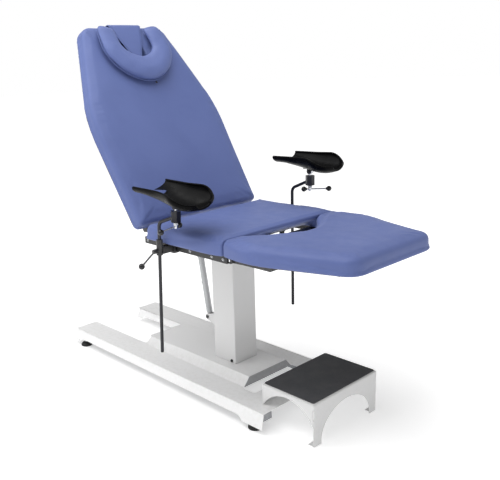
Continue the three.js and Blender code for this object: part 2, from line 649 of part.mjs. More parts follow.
// ---- leg rests ----------------------------------------------------------------------------------
const RAIL_MIDDLE = (RAIL.bottom + RAIL.top) / 2;

function leaned(body, lean) {
  const turn = new THREE.Matrix4().makeRotationY(THREE.MathUtils.degToRad(lean));
  return body.transform(turn.elements);
}

// A hook clamp on the rail with a leaning sleeve for the rod; its origin is the sleeve's middle.
function rodClamp(sign, lean) {
  const y = (fromMiddle) => fromMiddle - ROD.y;
  const z = (height) => height - RAIL_MIDDLE;
  const hook = 276;
  const part = (x, near, far, z0, z1) => sideBox(sign, -x, x, y(near), y(far), z(z0), z(z1));
  const jaw = join(
    part(20, RAIL.outer + 2.9, 301, RAIL.bottom - 7, FRAME_TOP - 1),
    part(20, hook, 301, RAIL.top + GAP, FRAME_TOP - 1),
    part(20, hook, RAIL.inner - GAP, RAIL.top - 3, FRAME_TOP - 1),
    part(20, hook, 301, RAIL.bottom - 7, RAIL.bottom - GAP),
    part(20, hook, RAIL.inner - GAP, RAIL.bottom - 7, RAIL.bottom + 3),
    part(14, 300, ROD.y - 6, RAIL.bottom, RAIL.top),
  );
  const sleeve = leaned(bar([0, 0, -18], [0, 0, 44], 12.5), lean);
  const boss = leaned(bar([0, 0, 0], [0, sign * 17, 0], 9.5), lean);
  const bore = leaned(bar([0, 0, -60], [0, 0, 80], ROD.radius + GAP), lean);
  const thread = leaned(bar([0, sign * 7.5, 0], [0, sign * 20, 0], 4.8), lean);
  return cut(join(jaw, sleeve, boss), bore, thread);
}

const LEVER = { reach: 119, slope: -44, ball: 13 };
const leverEnd = (sign, reach) => {
  const slope = THREE.MathUtils.degToRad(LEVER.slope);
  return [-reach * Math.cos(slope), sign * 25, reach * Math.sin(slope)];
};

// The clamp screw with its lever.
function clampLever(sign) {
  return join(
    bar([0, sign * 8, 0], [0, sign * 22, 0], 4.5),
    bar([0, sign * 17.4, 0], [0, sign * 32, 0], 9),
    bar([0, sign * 25, 0], leverEnd(sign, LEVER.reach - LEVER.ball - GAP), 3.6, 12),
  );
}

// The rod: straight through the clamp, then bent forwards to the holder. Its origin is the sleeve's middle.
function supportRod(bendAt) {
  const arm = new THREE.Vector3(ROD.reach, 0, ROD.rise);
  const out = arm.clone().normalize();
  const corner = new THREE.Vector3(0, 0, bendAt);
  const ease = ROD.bend * Math.tan((Math.PI / 2 - Math.atan2(ROD.rise, ROD.reach)) / 2);
  const path = new THREE.CurvePath();
  const bendStart = corner.clone().setZ(bendAt - ease);
  const bendEnd = corner.clone().addScaledVector(out, ease);
  path.add(new THREE.LineCurve3(corner.clone().setZ(bendAt - ROD.drop), bendStart));
  path.add(new THREE.QuadraticBezierCurve3(bendStart, corner, bendEnd));
  path.add(new THREE.LineCurve3(bendEnd, corner.clone().addScaledVector(out, arm.length() - 10)));
  return sweepRound(path, ROD.radius);
}

// A round bar along straight and bent stretches: rings of points joined end to end.
function sweepRound(path, radius) {
  const sides = 16;
  const stations = [];
  for (const curve of path.curves) {
    const steps = curve.isQuadraticBezierCurve3 ? 6 : 1;
    const from = stations.length ? 1 : 0;
    for (let step = from; step <= steps; step++)
      stations.push([curve.getPoint(step / steps), curve.getTangent(step / steps)]);
  }
  const cross = new THREE.Vector3(0, 1, 0);
  const ring = ([centre, tangent]) => {
    const other = new THREE.Vector3().crossVectors(tangent, cross).normalize();
    return Array.from({ length: sides }, (_, i) => {
      const angle = (2 * Math.PI * i) / sides;
      return centre.clone()
        .addScaledVector(other, radius * Math.cos(angle))
        .addScaledVector(cross, radius * Math.sin(angle));
    });
  };
  return loft(stations.map(ring));
}

// A closed solid through rings of equal length, capped flat at both ends.
function loft(rings) {
  const sides = rings[0].length;
  const places = [];
  const face = (...points) => points.forEach((p) => places.push(p.x, p.y, p.z));
  for (let i = 0; i + 1 < rings.length; i++)
    for (let j = 0; j < sides; j++) {
      const k = (j + 1) % sides;
      face(rings[i][j], rings[i][k], rings[i + 1][k]);
      face(rings[i][j], rings[i + 1][k], rings[i + 1][j]);
    }
  const first = rings[0];
  const last = rings[rings.length - 1];
  for (let j = 1; j + 1 < sides; j++) {
    face(first[0], first[j + 1], first[j]);
    face(last[0], last[j], last[j + 1]);
  }
  const geometry = new THREE.BufferGeometry();
  geometry.setAttribute("position", new THREE.BufferAttribute(new Float32Array(places), 3));
  const body = solid(geometry);
  if (body.volume() > 0) return body;
  return loft([...rings].reverse());
}

// The six-sided block on the rod's end, bored for the post and the rod.
function holderBlock() {
  const radius = HOLDER.acrossFlats / Math.sqrt(3);
  const hex = new THREE.CylinderGeometry(radius, radius, HOLDER.height, 6).rotateX(Math.PI / 2);
  const bore = bar([0, 0, -40], [0, 0, 40], HOLDER.post + GAP);
  const way = new THREE.Vector3(-ROD.reach, 0, -ROD.rise).normalize();
  const socket = bar(way.clone().multiplyScalar(9.6).toArray(), way.clone().multiplyScalar(40).toArray(),
    ROD.radius + GAP);
  return cut(solid(hex), bore, socket);
}

// The post that turns in the block, with a flat knuckle on top.
function holderPost() {
  const post = bar([0, 0, -20], [0, 0, HOLDER.knuckle - 6], HOLDER.post);
  const knuckle = across(eye(0, HOLDER.knuckle, 11), -6, 6);
  return cut(join(post, knuckle), across(eye(0, HOLDER.knuckle, 4 + GAP), -9, 9));
}

const barEnd = (turn, reach) => {
  const angle = THREE.MathUtils.degToRad(turn);
  return [reach * Math.cos(angle), reach * Math.sin(angle), -HOLDER.barDrop];
};

// The clamping screw under the block with its cross bar.
function barHandle({ barTurn, barLong, barShort }) {
  const collar = bar([0, 0, -HOLDER.barDrop - 7], [0, 0, -HOLDER.height / 2 - GAP], 7.5);
  return join(collar, bar(barEnd(barTurn, 1 - barShort), barEnd(barTurn, barLong - 2), 3, 12));
}
const BAR_BALL = 11.5;
// A ball knob bored for the bar that ends inside it.
const barBall = (turn, reach) => {
  const inner = reach > 0 ? reach - BAR_BALL - 1 : reach + BAR_BALL + 1;
  const stop = reach > 0 ? reach - 2 + GAP : reach + 1 - GAP;
  return cut(ball(barEnd(turn, reach), BAR_BALL), bar(barEnd(turn, inner), barEnd(turn, stop), 3 + GAP, 12));
};

// The trough's half width, rim height and depth below the rim at one place along it.
function troughProfile(x, grow) {
  const smooth = (t) => t * t * (3 - 2 * t);
  const between = (from, to) => smooth(Math.min(1, Math.max(0, (x - from) / (to - from))));
  const run = (x - SHELL.head) / (SHELL.foot - SHELL.head);
  const tip = Math.max(0, (run - 0.74) / 0.28);
  const half = (SHELL.half + SHELL.flare * between(-30, 80)) * Math.sqrt(1 - tip * tip) + grow;
  const fall = SHELL.drop * between(SHELL.dropFrom, SHELL.foot);
  const belly = SHELL.shallow + (SHELL.deep - SHELL.shallow) * smooth(Math.min(1, run * 1.1));
  const depth = belly * Math.sqrt(1 - 0.35 * tip * tip) - fall - SHELL.wall + grow;
  return { half, rim: SHELL.rim - fall, depth };
}

// The curved edge of the trough at one place, from the right rim round to the left.
function troughEdge(x, grow, around) {
  const { half, rim, depth } = troughProfile(x, grow);
  return Array.from({ length: around + 1 }, (_, j) => {
    const angle = Math.PI * (j / around) - Math.PI / 2;
    return new THREE.Vector3(x, half * Math.sin(angle), rim - depth * Math.cos(angle));
  });
}

// The knee trough: a shell with two side bars at the head end, wider and rounded off at the foot end.
function legShell() {
  const stations = 16;
  const around = 10;
  const rings = Array.from({ length: stations + 1 }, (_, i) => {
    const x = SHELL.foot - ((SHELL.foot - SHELL.head) * i) / stations;
    return [...troughEdge(x, SHELL.wall, around), ...troughEdge(x, 0, around).reverse()];
  });
  const openHead = across(shapeOf([
    [SHELL.head - 10, SHELL.rim - SHELL.sideBar], [SHELL.openHead - 34, SHELL.rim - SHELL.sideBar],
    [SHELL.openHead, SHELL.rim - 64], [SHELL.openHead, 0], [SHELL.head - 10, 0],
  ]), -BIG, BIG);
  const trough = cut(loftBent(rings, around), openHead);
  const plate = box(-14, 72, -15, 15, HOLDER.knuckle + 12, HOLDER.knuckle + 16);
  const legs = [[-14, -6], [58, 72]].map(([x0, x1]) => box(x0, x1, -12, 12, HOLDER.knuckle + 13, SHELL.rim - 38));
  const cheeks = SIDES.map(([, sign]) => join(
    sidePlate(sign, eye(0, HOLDER.knuckle, 11), 6.5, 11),
    sidePlate(sign, shapeOf([[-9, HOLDER.knuckle], [9, HOLDER.knuckle], [12, HOLDER.knuckle + 13],
      [-12, HOLDER.knuckle + 13]]), 6.5, 11),
  ));
  const bolt = across(eye(0, HOLDER.knuckle, 4), -13, 13);
  const room = troughRoom(stations, around);
  return join(trough, cut(join(plate, ...legs), room), ...cheeks, bolt);
}

// The trough as a bent strip: each ring is the outer edge out and the inner edge back.
function loftBent(rings, around) {
  const places = [];
  const face = (...points) => points.forEach((p) => places.push(p.x, p.y, p.z));
  const sides = rings[0].length;
  for (let i = 0; i + 1 < rings.length; i++)
    for (let j = 0; j < sides; j++) {
      const k = (j + 1) % sides;
      face(rings[i][j], rings[i + 1][j], rings[i + 1][k]);
      face(rings[i][j], rings[i + 1][k], rings[i][k]);
    }
  const cap = (ring, flip) => {
    for (let j = 0; j < around; j++) {
      const [a, b, c, d] = [ring[j], ring[j + 1], ring[sides - 2 - j], ring[sides - 1 - j]];
      if (flip) {
        face(a, c, b);
        face(a, d, c);
      } else {
        face(a, b, c);
        face(a, c, d);
      }
    }
  };
  cap(rings[0], false);
  cap(rings[rings.length - 1], true);
  const geometry = new THREE.BufferGeometry();
  geometry.setAttribute("position", new THREE.BufferAttribute(new Float32Array(places), 3));
  return solid(geometry);
}

// The space inside the trough, so that the bracket's legs stop in its wall.
function troughRoom(stations, around) {
  return loft(Array.from({ length: stations + 1 }, (_, i) =>
    troughEdge(SHELL.head + ((SHELL.foot - SHELL.head) * i) / stations, 2, around)));
}

for (const rest of LEG_RESTS) {
  const { side, sign, clampX, lean, bendAt } = rest;
  const clamp = group(chair, [clampX, sign * ROD.y, RAIL_MIDDLE]);
  add(clamp, `rod_clamp_${side}`, rodClamp(sign, lean), FINISH.blackSteel);
  const leaning = group(clamp, [0, 0, 0], lean);
  add(leaning, `clamp_lever_${side}`, clampLever(sign), FINISH.blackSteel);
  add(leaning, `lever_ball_${side}`, ball(leverEnd(sign, LEVER.reach), LEVER.ball), FINISH.blackPlastic);
  add(leaning, `support_rod_${side}`, supportRod(bendAt), FINISH.blackSteel);
  const holder = group(leaning, [ROD.reach, 0, bendAt + ROD.rise]);
  add(holder, `holder_block_${side}`, holderBlock(), FINISH.blackSteel);
  add(holder, `bar_handle_${side}`, barHandle(rest), FINISH.chrome);
  add(holder, `bar_ball_long_${side}`, barBall(rest.barTurn, rest.barLong), FINISH.blackPlastic);
  add(holder, `bar_ball_short_${side}`, barBall(rest.barTurn, -rest.barShort), FINISH.blackPlastic);
  const cradle = group(holder);
  cradle.rotation.z = THREE.MathUtils.degToRad(SHELL.turn);
  add(cradle, `holder_post_${side}`, holderPost(), FINISH.chrome);
  add(cradle, `leg_shell_${side}`, legShell(), FINISH.blackPlastic);
}

// ---- step ---------------------------------------------------------------------------------------
// A folded sheet step: the rear legs stand on the base, the front legs on the floor.
function stepFrame() {
  const { rear, front, half, top, sheet, standsAt } = STEP;
  const outside = box(rear, front, -half, half, 0, top);
  const inside = box(rear + sheet, front - sheet, -half + sheet, half - sheet, -1, top - sheet);
  const sideArch = new THREE.Shape();
  sideArch.absellipse(STEP.archX, 0, STEP.archHalfX, STEP.archTopX, 0, 2 * Math.PI);
  const frontArch = new THREE.Shape();
  frontArch.absellipse(0, 10, STEP.archHalfY, STEP.archTopY - 10, 0, 2 * Math.PI);
  const shell = cut(
    outside, inside,
    cut(across(sideArch, -BIG, BIG, 20), box(front - sheet, BIG, -BIG, BIG, -BIG, BIG)),
    along(frontArch, -BIG, BIG, 20),
    box(rear - 1, STEP.archX, -BIG, BIG, -1, standsAt),
    box(STEP.archX, front - sheet, -half + 40, half - 40, -1, 20),
    ...SIDES.map(([, sign]) => sideBox(sign, front - 4, front + 1, half - 4, half + 1, 109, 146)),
  );
  const tabs = SIDES.map(([, sign]) => sideBox(sign, front - 30, front - 1, half - 34, half - 1, 0, sheet));
  return join(shell, ...tabs);
}
add(chair, "step_frame", stepFrame(), FINISH.whiteSteel);
const stepMat = raised(rectangle(344, 586, 187, 8), STEP.top + GAP, STEP.top + GAP + 2.5, 3);
add(chair, "step_mat", stepMat, FINISH.rubber);

// ---- origin -------------------------------------------------------------------------------------
// The origin is under the middle of the whole object, on the floor.
chair.updateMatrixWorld(true);
const reach = new THREE.Box3().setFromObject(chair, true);
const middle = reach.getCenter(new THREE.Vector3());
chair.position.set(-middle.x, -middle.y, -reach.min.z);

export default chair;
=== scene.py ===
"""Looks of the gynaecological examination chair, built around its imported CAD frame.

Lengths below are in millimetres from the column's axis on the floor, with +X towards the feet,
+Y towards the patient's left and +Z up; meshes are turned into metres in the row frame as they are made.
"""
import math

import bmesh
import bpy
from mathutils import Matrix, Vector, noise


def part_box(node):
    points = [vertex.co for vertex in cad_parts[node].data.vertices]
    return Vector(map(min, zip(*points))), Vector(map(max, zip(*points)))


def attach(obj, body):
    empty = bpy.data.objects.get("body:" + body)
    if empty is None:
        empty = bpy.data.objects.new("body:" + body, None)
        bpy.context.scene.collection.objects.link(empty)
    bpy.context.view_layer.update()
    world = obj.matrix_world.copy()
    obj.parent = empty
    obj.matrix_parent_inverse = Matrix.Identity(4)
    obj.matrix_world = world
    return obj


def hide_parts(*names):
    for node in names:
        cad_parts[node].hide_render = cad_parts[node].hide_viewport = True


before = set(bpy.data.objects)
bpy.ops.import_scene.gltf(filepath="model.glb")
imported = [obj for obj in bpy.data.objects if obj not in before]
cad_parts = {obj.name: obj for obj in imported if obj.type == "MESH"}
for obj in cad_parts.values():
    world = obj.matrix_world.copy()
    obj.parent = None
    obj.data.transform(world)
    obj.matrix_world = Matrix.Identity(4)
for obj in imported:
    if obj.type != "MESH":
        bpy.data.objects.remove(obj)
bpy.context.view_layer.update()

# ---- dimensions shared with the CAD frame --------------------------------------------------------
SIDES = (("right", -1), ("left", 1))
SEAT = {"rear": -160, "front": 279, "half": 338, "low": 691.8, "high": 757, "lip": (187, 690),
        "lip_half": 225}
LEG = {"rear": 284, "front": 790, "bay_half": 190, "bay_depth": 116}
BACK = {"pivot": (-186, 712), "angle": 58, "length": 955, "gap": 12, "low": -25.8, "high": 38}
FACE_HOLE = {"x": -815, "half_length": 72, "half_width": 58}
BOARD_BACK = -27.3  # the rear face of the backrest's board
STRAP_FACE = 38.4
STRAP = 3.5
RAIL = {"outer": 288, "middle": 670.5}
SPRING = {"foot": (-158, 268), "head": (-230, 700), "radius": 13.5}
RESTS = {
    "right": {"sign": -1, "x": -33, "lean": 3.6, "bend": 111, "turn": -75, "long": 94, "short": 22},
    "left": {"sign": 1, "x": 22, "lean": 0.0, "bend": 141, "turn": 42, "long": 80, "short": 26},
}
ROD = {"y": 356, "radius": 6.75, "drop": 545, "ease": 28, "reach": 101, "rise": 44}
HOLDER = {"height": 42, "post": 6, "knuckle": 38, "bar_drop": 38}
SHELL = {"head": -130, "foot": 130, "half": 87, "flare": 20, "rim": 106, "drop": 38, "drop_from": 40,
         "wall": 5, "shallow": 34, "deep": 71, "open_head": -45, "side_bar": 28, "bead": 4.4, "turn": 8}
LEVER = {"reach": 119, "slope": -44, "ball": 12.8}
STEP = {"rear": 337, "front": 593, "half": 195, "top": 172, "arch_x": 465, "arch_half": 144, "arch_top": 155}
FOOT = {"front": 340, "rear": -855, "y": 236}
SEAM = 40  # how far the two pads run on past the seam before they are cut there
BASE = {"top": 85, "floor": 24, "front": 399, "rear": -900, "half": 251, "bay_front": -475, "bay_half": 141,
        "splay": (5, 36, 15)}  # the skirt's splay: ahead, behind and to the sides
TUNNEL = {"top": 122, "front": 190, "rear": -461, "half": 112, "column_half": 66, "splay": (14, 31)}

low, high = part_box("column")
DATUM = Vector(((low.x + high.x) / 2, (low.y + high.y) / 2, 0))


def place(x=0, y=0, z=0, lean=0, turn=0):
    """Matrix from a piece's own millimetres to the row frame: turned about Z, leaned about Y, then moved."""
    return (
        Matrix.Translation(DATUM + Vector((x, y, z)) / 1000)
        @ Matrix.Rotation(math.radians(lean), 4, "Y")
        @ Matrix.Rotation(math.radians(turn), 4, "Z")
        @ Matrix.Scale(0.001, 4)
    )


WORLD = place()
ON_BACK = place(BACK["pivot"][0], 0, BACK["pivot"][1], lean=BACK["angle"])
FACE_Y = Matrix.Rotation(math.radians(-90), 4, "X")  # turns a piece's +Z towards +Y


def at_mm(x, y, z):
    return Matrix.Translation((x, y, z))


# ---- materials -----------------------------------------------------------------------------------
def linear(colour):
    return [((c / 255 + 0.055) / 1.055) ** 2.4 if c > 10 else c / 255 / 12.92 for c in colour]


class Surface:
    """A node material: a principled shader on object coordinates, with helpers for its details."""

    def __init__(self, name, colour, roughness, metallic=0.0):
        self.material = bpy.data.materials.new(name)
        self.material.use_nodes = True
        self.tree = self.material.node_tree
        self.shader = self.tree.nodes["Principled BSDF"]
        self.base = (*linear(colour), 1)
        self.shader.inputs["Base Color"].default_value = self.base
        self.shader.inputs["Roughness"].default_value = roughness
        self.shader.inputs["Metallic"].default_value = metallic
        self.material.diffuse_color = self.base
        self.where = self.tree.nodes.new("ShaderNodeTexCoord").outputs["Object"]
        self.colour_socket = None
        self.normal_socket = None

    def node(self, kind, **values):
        made = self.tree.nodes.new(kind)
        for key, value in values.items():
            if key in made.inputs:
                made.inputs[key].default_value = value
            else:
                setattr(made, key, value)
        return made

    def link(self, a, b):
        self.tree.links.new(a, b)

    def stretched(self, scale):
        mapping = self.node("ShaderNodeMapping")
        mapping.inputs["Scale"].default_value = scale
        self.link(self.where, mapping.inputs["Vector"])
        return mapping.outputs["Vector"]

    def noise(self, scale, detail=3.0, where=None):
        made = self.node("ShaderNodeTexNoise", Scale=scale, Detail=detail)
        self.link(where or self.where, made.inputs["Vector"])
        return made.outputs["Fac"]

    def cells(self, scale, feature="F1", where=None):
        made = self.node("ShaderNodeTexVoronoi", Scale=scale, feature=feature)
        self.link(where or self.where, made.inputs["Vector"])
        return made.outputs["Distance"]

    def ramp(self, source, low, high, dark, light):
        made = self.node("ShaderNodeMapRange")
        made.inputs["From Min"].default_value = low
        made.inputs["From Max"].default_value = high
        made.inputs["To Min"].default_value = dark
        made.inputs["To Max"].default_value = light
        self.link(source, made.inputs["Value"])
        return made.outputs["Result"]

    def tint(self, mask, colour):
        """Mixes another colour in where the mask is 1."""
        mix = self.node("ShaderNodeMix", data_type="RGBA")
        self.link(mask, mix.inputs["Factor"])
        if self.colour_socket:
            self.link(self.colour_socket, mix.inputs["A"])
        else:
            mix.inputs["A"].default_value = self.base
        mix.inputs["B"].default_value = (*linear(colour), 1)
        self.colour_socket = mix.outputs["Result"]
        self.link(self.colour_socket, self.shader.inputs["Base Color"])
        return self

    def rough(self, mask, smooth, coarse):
        self.link(self.ramp(mask, 0.3, 0.7, smooth, coarse), self.shader.inputs["Roughness"])
        return self

    def bump(self, height, depth, strength=1.0):
        made = self.node("ShaderNodeBump", Strength=strength, Distance=depth)
        self.link(height, made.inputs["Height"])
        if self.normal_socket:
            self.link(self.normal_socket, made.inputs["Normal"])
        self.normal_socket = made.outputs["Normal"]
        self.link(self.normal_socket, self.shader.inputs["Normal"])
        return self

    def worn(self, colour, amount=0.5):
        """Paler edges, broken up by noise."""
        pointed = self.node("ShaderNodeNewGeometry").outputs["Pointiness"]
        edge = self.ramp(pointed, 0.53, 0.6, 0, amount)
        patchy = self.node("ShaderNodeMath", operation="MULTIPLY")
        self.link(edge, patchy.inputs[0])
        self.link(self.ramp(self.noise(60, 4), 0.45, 0.6, 0, 1), patchy.inputs[1])
        return self.tint(patchy.outputs["Value"], colour)


def vinyl_material(name, colour, pale, deep, grain=1.0):
    made = Surface(name, colour, 0.5)
    made.tint(made.ramp(made.noise(3.1, 2), 0.35, 0.7, 0, 0.55), pale)
    made.tint(made.ramp(made.noise(9.0, 4), 0.5, 0.75, 0, 0.3), deep)
    made.rough(made.noise(22, 5), 0.44, 0.58)
    made.bump(made.cells(620, "SMOOTH_F1"), 0.00035 * grain, 0.35)
    made.bump(made.noise(1500, 3), 0.0001, 0.35)
    made.shader.inputs["Sheen Weight"].default_value = 0.04
    made.shader.inputs["Specular IOR Level"].default_value = 0.25
    return made.material


def painted_material(name, colour, roughness, wear, metallic=0.0):
    made = Surface(name, colour, roughness, metallic)
    made.tint(made.ramp(made.noise(5, 3), 0.4, 0.75, 0, 0.12), [min(255, c * 0.93) for c in colour])
    made.rough(made.noise(40, 4), roughness - 0.06, roughness + 0.08)
    made.bump(made.noise(420, 2), 0.00006, 0.15)
    made.worn(wear, 0.35)
    return made.material


def metal_material(name, colour, roughness, brushed=(1, 1, 1), scratch=0.25):
    made = Surface(name, colour, roughness, 1.0)
    lines = made.noise(260, 4, made.stretched(brushed))
    made.rough(lines, max(0.04, roughness - 0.05), roughness + 0.1)
    made.bump(lines, 0.00004, scratch)
    made.tint(made.ramp(made.noise(18, 4), 0.5, 0.8, 0, 0.3), [c * 0.82 for c in colour])
    return made.material


def moulded_material(name, colour, roughness, grain_scale, depth):
    made = Surface(name, colour, roughness)
    made.tint(made.ramp(made.noise(11, 4), 0.45, 0.8, 0, 0.5), [c * 1.35 for c in colour])
    made.rough(made.noise(30, 5), roughness - 0.06, roughness + 0.12)
    made.bump(made.cells(grain_scale, "SMOOTH_F1"), depth, 0.4)
    return made.material


def rubber_mat_material():
    made = Surface("ribbed_rubber", (70, 71, 74), 0.78)
    made.tint(made.ramp(made.noise(14, 4), 0.4, 0.7, 0, 0.6), (84, 85, 88))
    made.tint(made.ramp(made.noise(260, 3), 0.52, 0.7, 0, 0.5), (58, 59, 62))
    made.bump(made.cells(330, "SMOOTH_F1"), 0.0007, 0.6)
    made.bump(made.noise(900, 3), 0.0002, 0.4)
    return made.material


def plywood_material():
    made = Surface("stained_plywood", (77, 62, 48), 0.7)
    grain = made.noise(30, 6, made.stretched((1, 14, 14)))
    made.tint(made.ramp(grain, 0.42, 0.66, 0, 0.85), (54, 42, 32))
    made.tint(made.ramp(made.noise(7, 3), 0.45, 0.7, 0, 0.4), (92, 76, 60))
    plies = made.node("ShaderNodeTexWave", Scale=110.0, Distortion=1.5, bands_direction="Z")
    made.link(made.where, plies.inputs["Vector"])
    made.tint(made.ramp(plies.outputs["Fac"], 0.5, 0.9, 0, 0.25), (44, 34, 26))
    made.bump(grain, 0.0002, 0.4)
    return made.material


VINYL = vinyl_material("blue_vinyl", (90, 104, 155), (98, 112, 163), (84, 98, 146))
PILLOW_VINYL = vinyl_material("blue_vinyl_soft", (91, 105, 156), (99, 113, 164), (84, 98, 146), 1.2)
THREAD = moulded_material("blue_thread", (78, 92, 138), 0.8, 2600, 0.0001)
# One white powder coat in two copies: the first is painted darker as shade on the column, step and brackets,
# the second lighter as painted light on the base cover and tunnel.
COAT_DARKENED_AS_SHADE = painted_material("white_coat_darkened_as_shade", (219, 219, 219), 0.42, (210, 210, 208))
COAT_LIGHTENED_AS_LIGHT = painted_material("white_coat_lightened_as_light", (241, 241, 241), 0.42, (228, 228, 226))
GREY = painted_material("grey_primer", (150, 152, 155), 0.5, (176, 178, 180), 0.3)
BLACK = painted_material("black_powder_coat", (34, 34, 36), 0.38, (82, 82, 84))
# The tunnel's front plate is grey partly as its own colour and partly as painted shade on that front face.
GREY_PLATE_AND_SHADE = painted_material("grey_plate_and_painted_shade", (160, 161, 164), 0.55, (176, 176, 178))
CHROME = metal_material("polished_chrome", (214, 216, 220), 0.12)
DARK_STEEL = metal_material("dark_rod_steel", (60, 60, 63), 0.3, (12, 12, 1))
SPRING_GREY = painted_material("spring_grey_paint", (186, 188, 190), 0.36, (210, 210, 212), 0.25)
SHELL_BLACK = moulded_material("shell_polyurethane", (5, 5, 6), 0.3, 520, 0.00025)
SHELL_BLACK.node_tree.nodes["Principled BSDF"].inputs["Specular IOR Level"].default_value = 0.06
BALL_BLACK = moulded_material("ball_bakelite", (20, 20, 22), 0.22, 900, 0.00004)
RUBBER = moulded_material("foot_rubber", (30, 30, 31), 0.72, 700, 0.0002)
MAT = rubber_mat_material()
PLYWOOD = plywood_material()


# ---- mesh building -------------------------------------------------------------------------------
def lathe(profile, sides=40):
    """A turned solid about Z from [radius, height] pairs that start and end on the axis."""
    bm = bmesh.new()
    rings = []
    for radius, z in profile:
        if radius < 1e-6:
            rings.append([bm.verts.new((0, 0, z))])
            continue
        angles = [2 * math.pi * i / sides for i in range(sides)]
        rings.append([bm.verts.new((radius * math.cos(a), radius * math.sin(a), z)) for a in angles])
    for lower, upper in zip(rings, rings[1:]):
        for i in range(sides):
            j = (i + 1) % sides
            corners = [lower[i % len(lower)], lower[j % len(lower)]]
            corners += [upper[j % len(upper)], upper[i % len(upper)]]
            unique = list(dict.fromkeys(corners))
            if len(unique) > 2:
                bm.faces.new(unique)
    bmesh.ops.recalc_face_normals(bm, faces=bm.faces)
    return bm


def eased(radius, z0, z1, ease=0.8):
    """The profile of a plain round bar with eased ends."""
    inner = radius - ease
    return [(0, z0), (inner, z0), (radius, z0 + ease), (radius, z1 - ease), (inner, z1), (0, z1)]


def sphere(radius, sides=32):
    steps = sides // 2
    angles = [math.pi * i / steps for i in range(steps + 1)]
    profile = [(radius * math.sin(a), -radius * math.cos(a)) for a in angles]
    profile[0] = (0, -radius)
    profile[-1] = (0, radius)
    return lathe(profile, sides)


def sweep(points, radius, sides=24, ease=0.8):
    """A round bar along a line of points, with eased ends."""
    points = [Vector(p) for p in points]
    ways = [(b - a).normalized() for a, b in zip(points, points[1:])]
    tangents = [ways[0], *[(a + b).normalized() for a, b in zip(ways, ways[1:])], ways[-1]]
    across = tangents[0].orthogonal().normalized()
    stations = [(points[0], tangents[0], radius - ease)]
    stations += [(p, t, radius) for p, t in zip(points, tangents)]
    stations[1] = (points[0] + tangents[0] * ease, tangents[0], radius)
    stations[-1] = (points[-1] - tangents[-1] * ease, tangents[-1], radius)
    stations.append((points[-1], tangents[-1], radius - ease))
    bm = bmesh.new()
    rings = []
    for centre, tangent, size in stations:
        across = (across - tangent * across.dot(tangent)).normalized()
        other = tangent.cross(across)
        ring = []
        for i in range(sides):
            a = 2 * math.pi * i / sides
            ring.append(bm.verts.new(centre + (across * math.cos(a) + other * math.sin(a)) * size))
        rings.append(ring)
    close_tube(bm, rings)
    return bm


def close_tube(bm, rings):
    """Joins each ring of points to the next, and closes both ends."""
    sides = len(rings[0])
    for lower, upper in zip(rings, rings[1:]):
        for i in range(sides):
            j = (i + 1) % sides
            bm.faces.new((lower[i], lower[j], upper[j], upper[i]))
    bm.faces.new(rings[0][::-1])
    bm.faces.new(rings[-1])
    bmesh.ops.recalc_face_normals(bm, faces=bm.faces)


def sheet(bm, rows):
    """Joins each row of points to the next, as one open sheet."""
    for lower, upper in zip(rows, rows[1:]):
        for i in range(len(lower) - 1):
            bm.faces.new((lower[i], lower[i + 1], upper[i + 1], upper[i]))
    bmesh.ops.recalc_face_normals(bm, faces=bm.faces)


def block(x0, x1, y0, y1, z0, z1, ease=0.8, segments=2):
    bm = bmesh.new()
    bmesh.ops.create_cube(bm, size=1)
    middle = at_mm((x0 + x1) / 2, (y0 + y1) / 2, (z0 + z1) / 2)
    bm.transform(middle @ Matrix.Diagonal((x1 - x0, y1 - y0, z1 - z0, 1)))
    bmesh.ops.bevel(bm, geom=bm.edges[:], offset=ease, segments=segments, profile=0.5, affect="EDGES")
    return bm


def slab(points, z0, z1, ease=0.0, segments=3, under=None):
    """An outline in X and Y raised from z0 to z1, its edges rounded by ease, the lower ones by under."""
    bm = bmesh.new()
    face = bm.faces.new([bm.verts.new((x, y, z0)) for x, y in points])
    raised = bmesh.ops.extrude_face_region(bm, geom=[face])
    top = [v for v in raised["geom"] if isinstance(v, bmesh.types.BMVert)]
    bmesh.ops.translate(bm, vec=(0, 0, z1 - z0), verts=top)
    bmesh.ops.recalc_face_normals(bm, faces=bm.faces)
    for height, radius in ((z1, ease), (z0, ease if under is None else under)):
        if radius:
            rims = [e for e in bm.edges if all(abs(v.co.z - height) < 1e-6 for v in e.verts)]
            bmesh.ops.bevel(bm, geom=rims, offset=radius, segments=segments, profile=0.5, affect="EDGES")
    return bm


def hexagon(across_flats):
    radius = across_flats / math.sqrt(3)
    return [(radius * math.cos(math.pi * i / 3), radius * math.sin(math.pi * i / 3)) for i in range(6)]


def gather(*parts):
    """One bmesh from (bmesh, matrix) pairs or bare bmeshes."""
    whole = bmesh.new()
    for part in parts:
        bm, matrix = part if isinstance(part, tuple) else (part, Matrix.Identity(4))
        bm.transform(matrix)
        scratch = bpy.data.meshes.new("scratch")
        bm.to_mesh(scratch)
        bm.free()
        whole.from_mesh(scratch)
        bpy.data.meshes.remove(scratch)
    return whole


def bare_object(name, bm, matrix=WORLD):
    bm.transform(matrix)
    mesh = bpy.data.meshes.new(name)
    bm.to_mesh(mesh)
    bm.free()
    made = bpy.data.objects.new(name, mesh)
    bpy.context.scene.collection.objects.link(made)
    return made


def finish_piece(obj, material, body, replaces=(), angle=38):
    obj.data.materials.clear()
    obj.data.materials.append(material)
    obj.data.shade_smooth()
    if angle:
        obj.data.set_sharp_from_angle(angle=math.radians(angle))
    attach(obj, body)
    if replaces:
        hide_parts(*replaces)
    return obj


def piece(name, bm, matrix, material, body, replaces=(), angle=38):
    return finish_piece(bare_object(name, bm, matrix), material, body, replaces, angle)


def use_modifier(obj, kind, **settings):
    """Adds a modifier and applies it at once."""
    modifier = obj.modifiers.new(kind, kind)
    for key, value in settings.items():
        setattr(modifier, key, value)
    apply_modifiers(obj)


def apply_modifiers(obj):
    bpy.context.view_layer.update()
    shaped = bpy.data.meshes.new_from_object(obj.evaluated_get(bpy.context.evaluated_depsgraph_get()))
    obj.modifiers.clear()
    obj.data = shaped


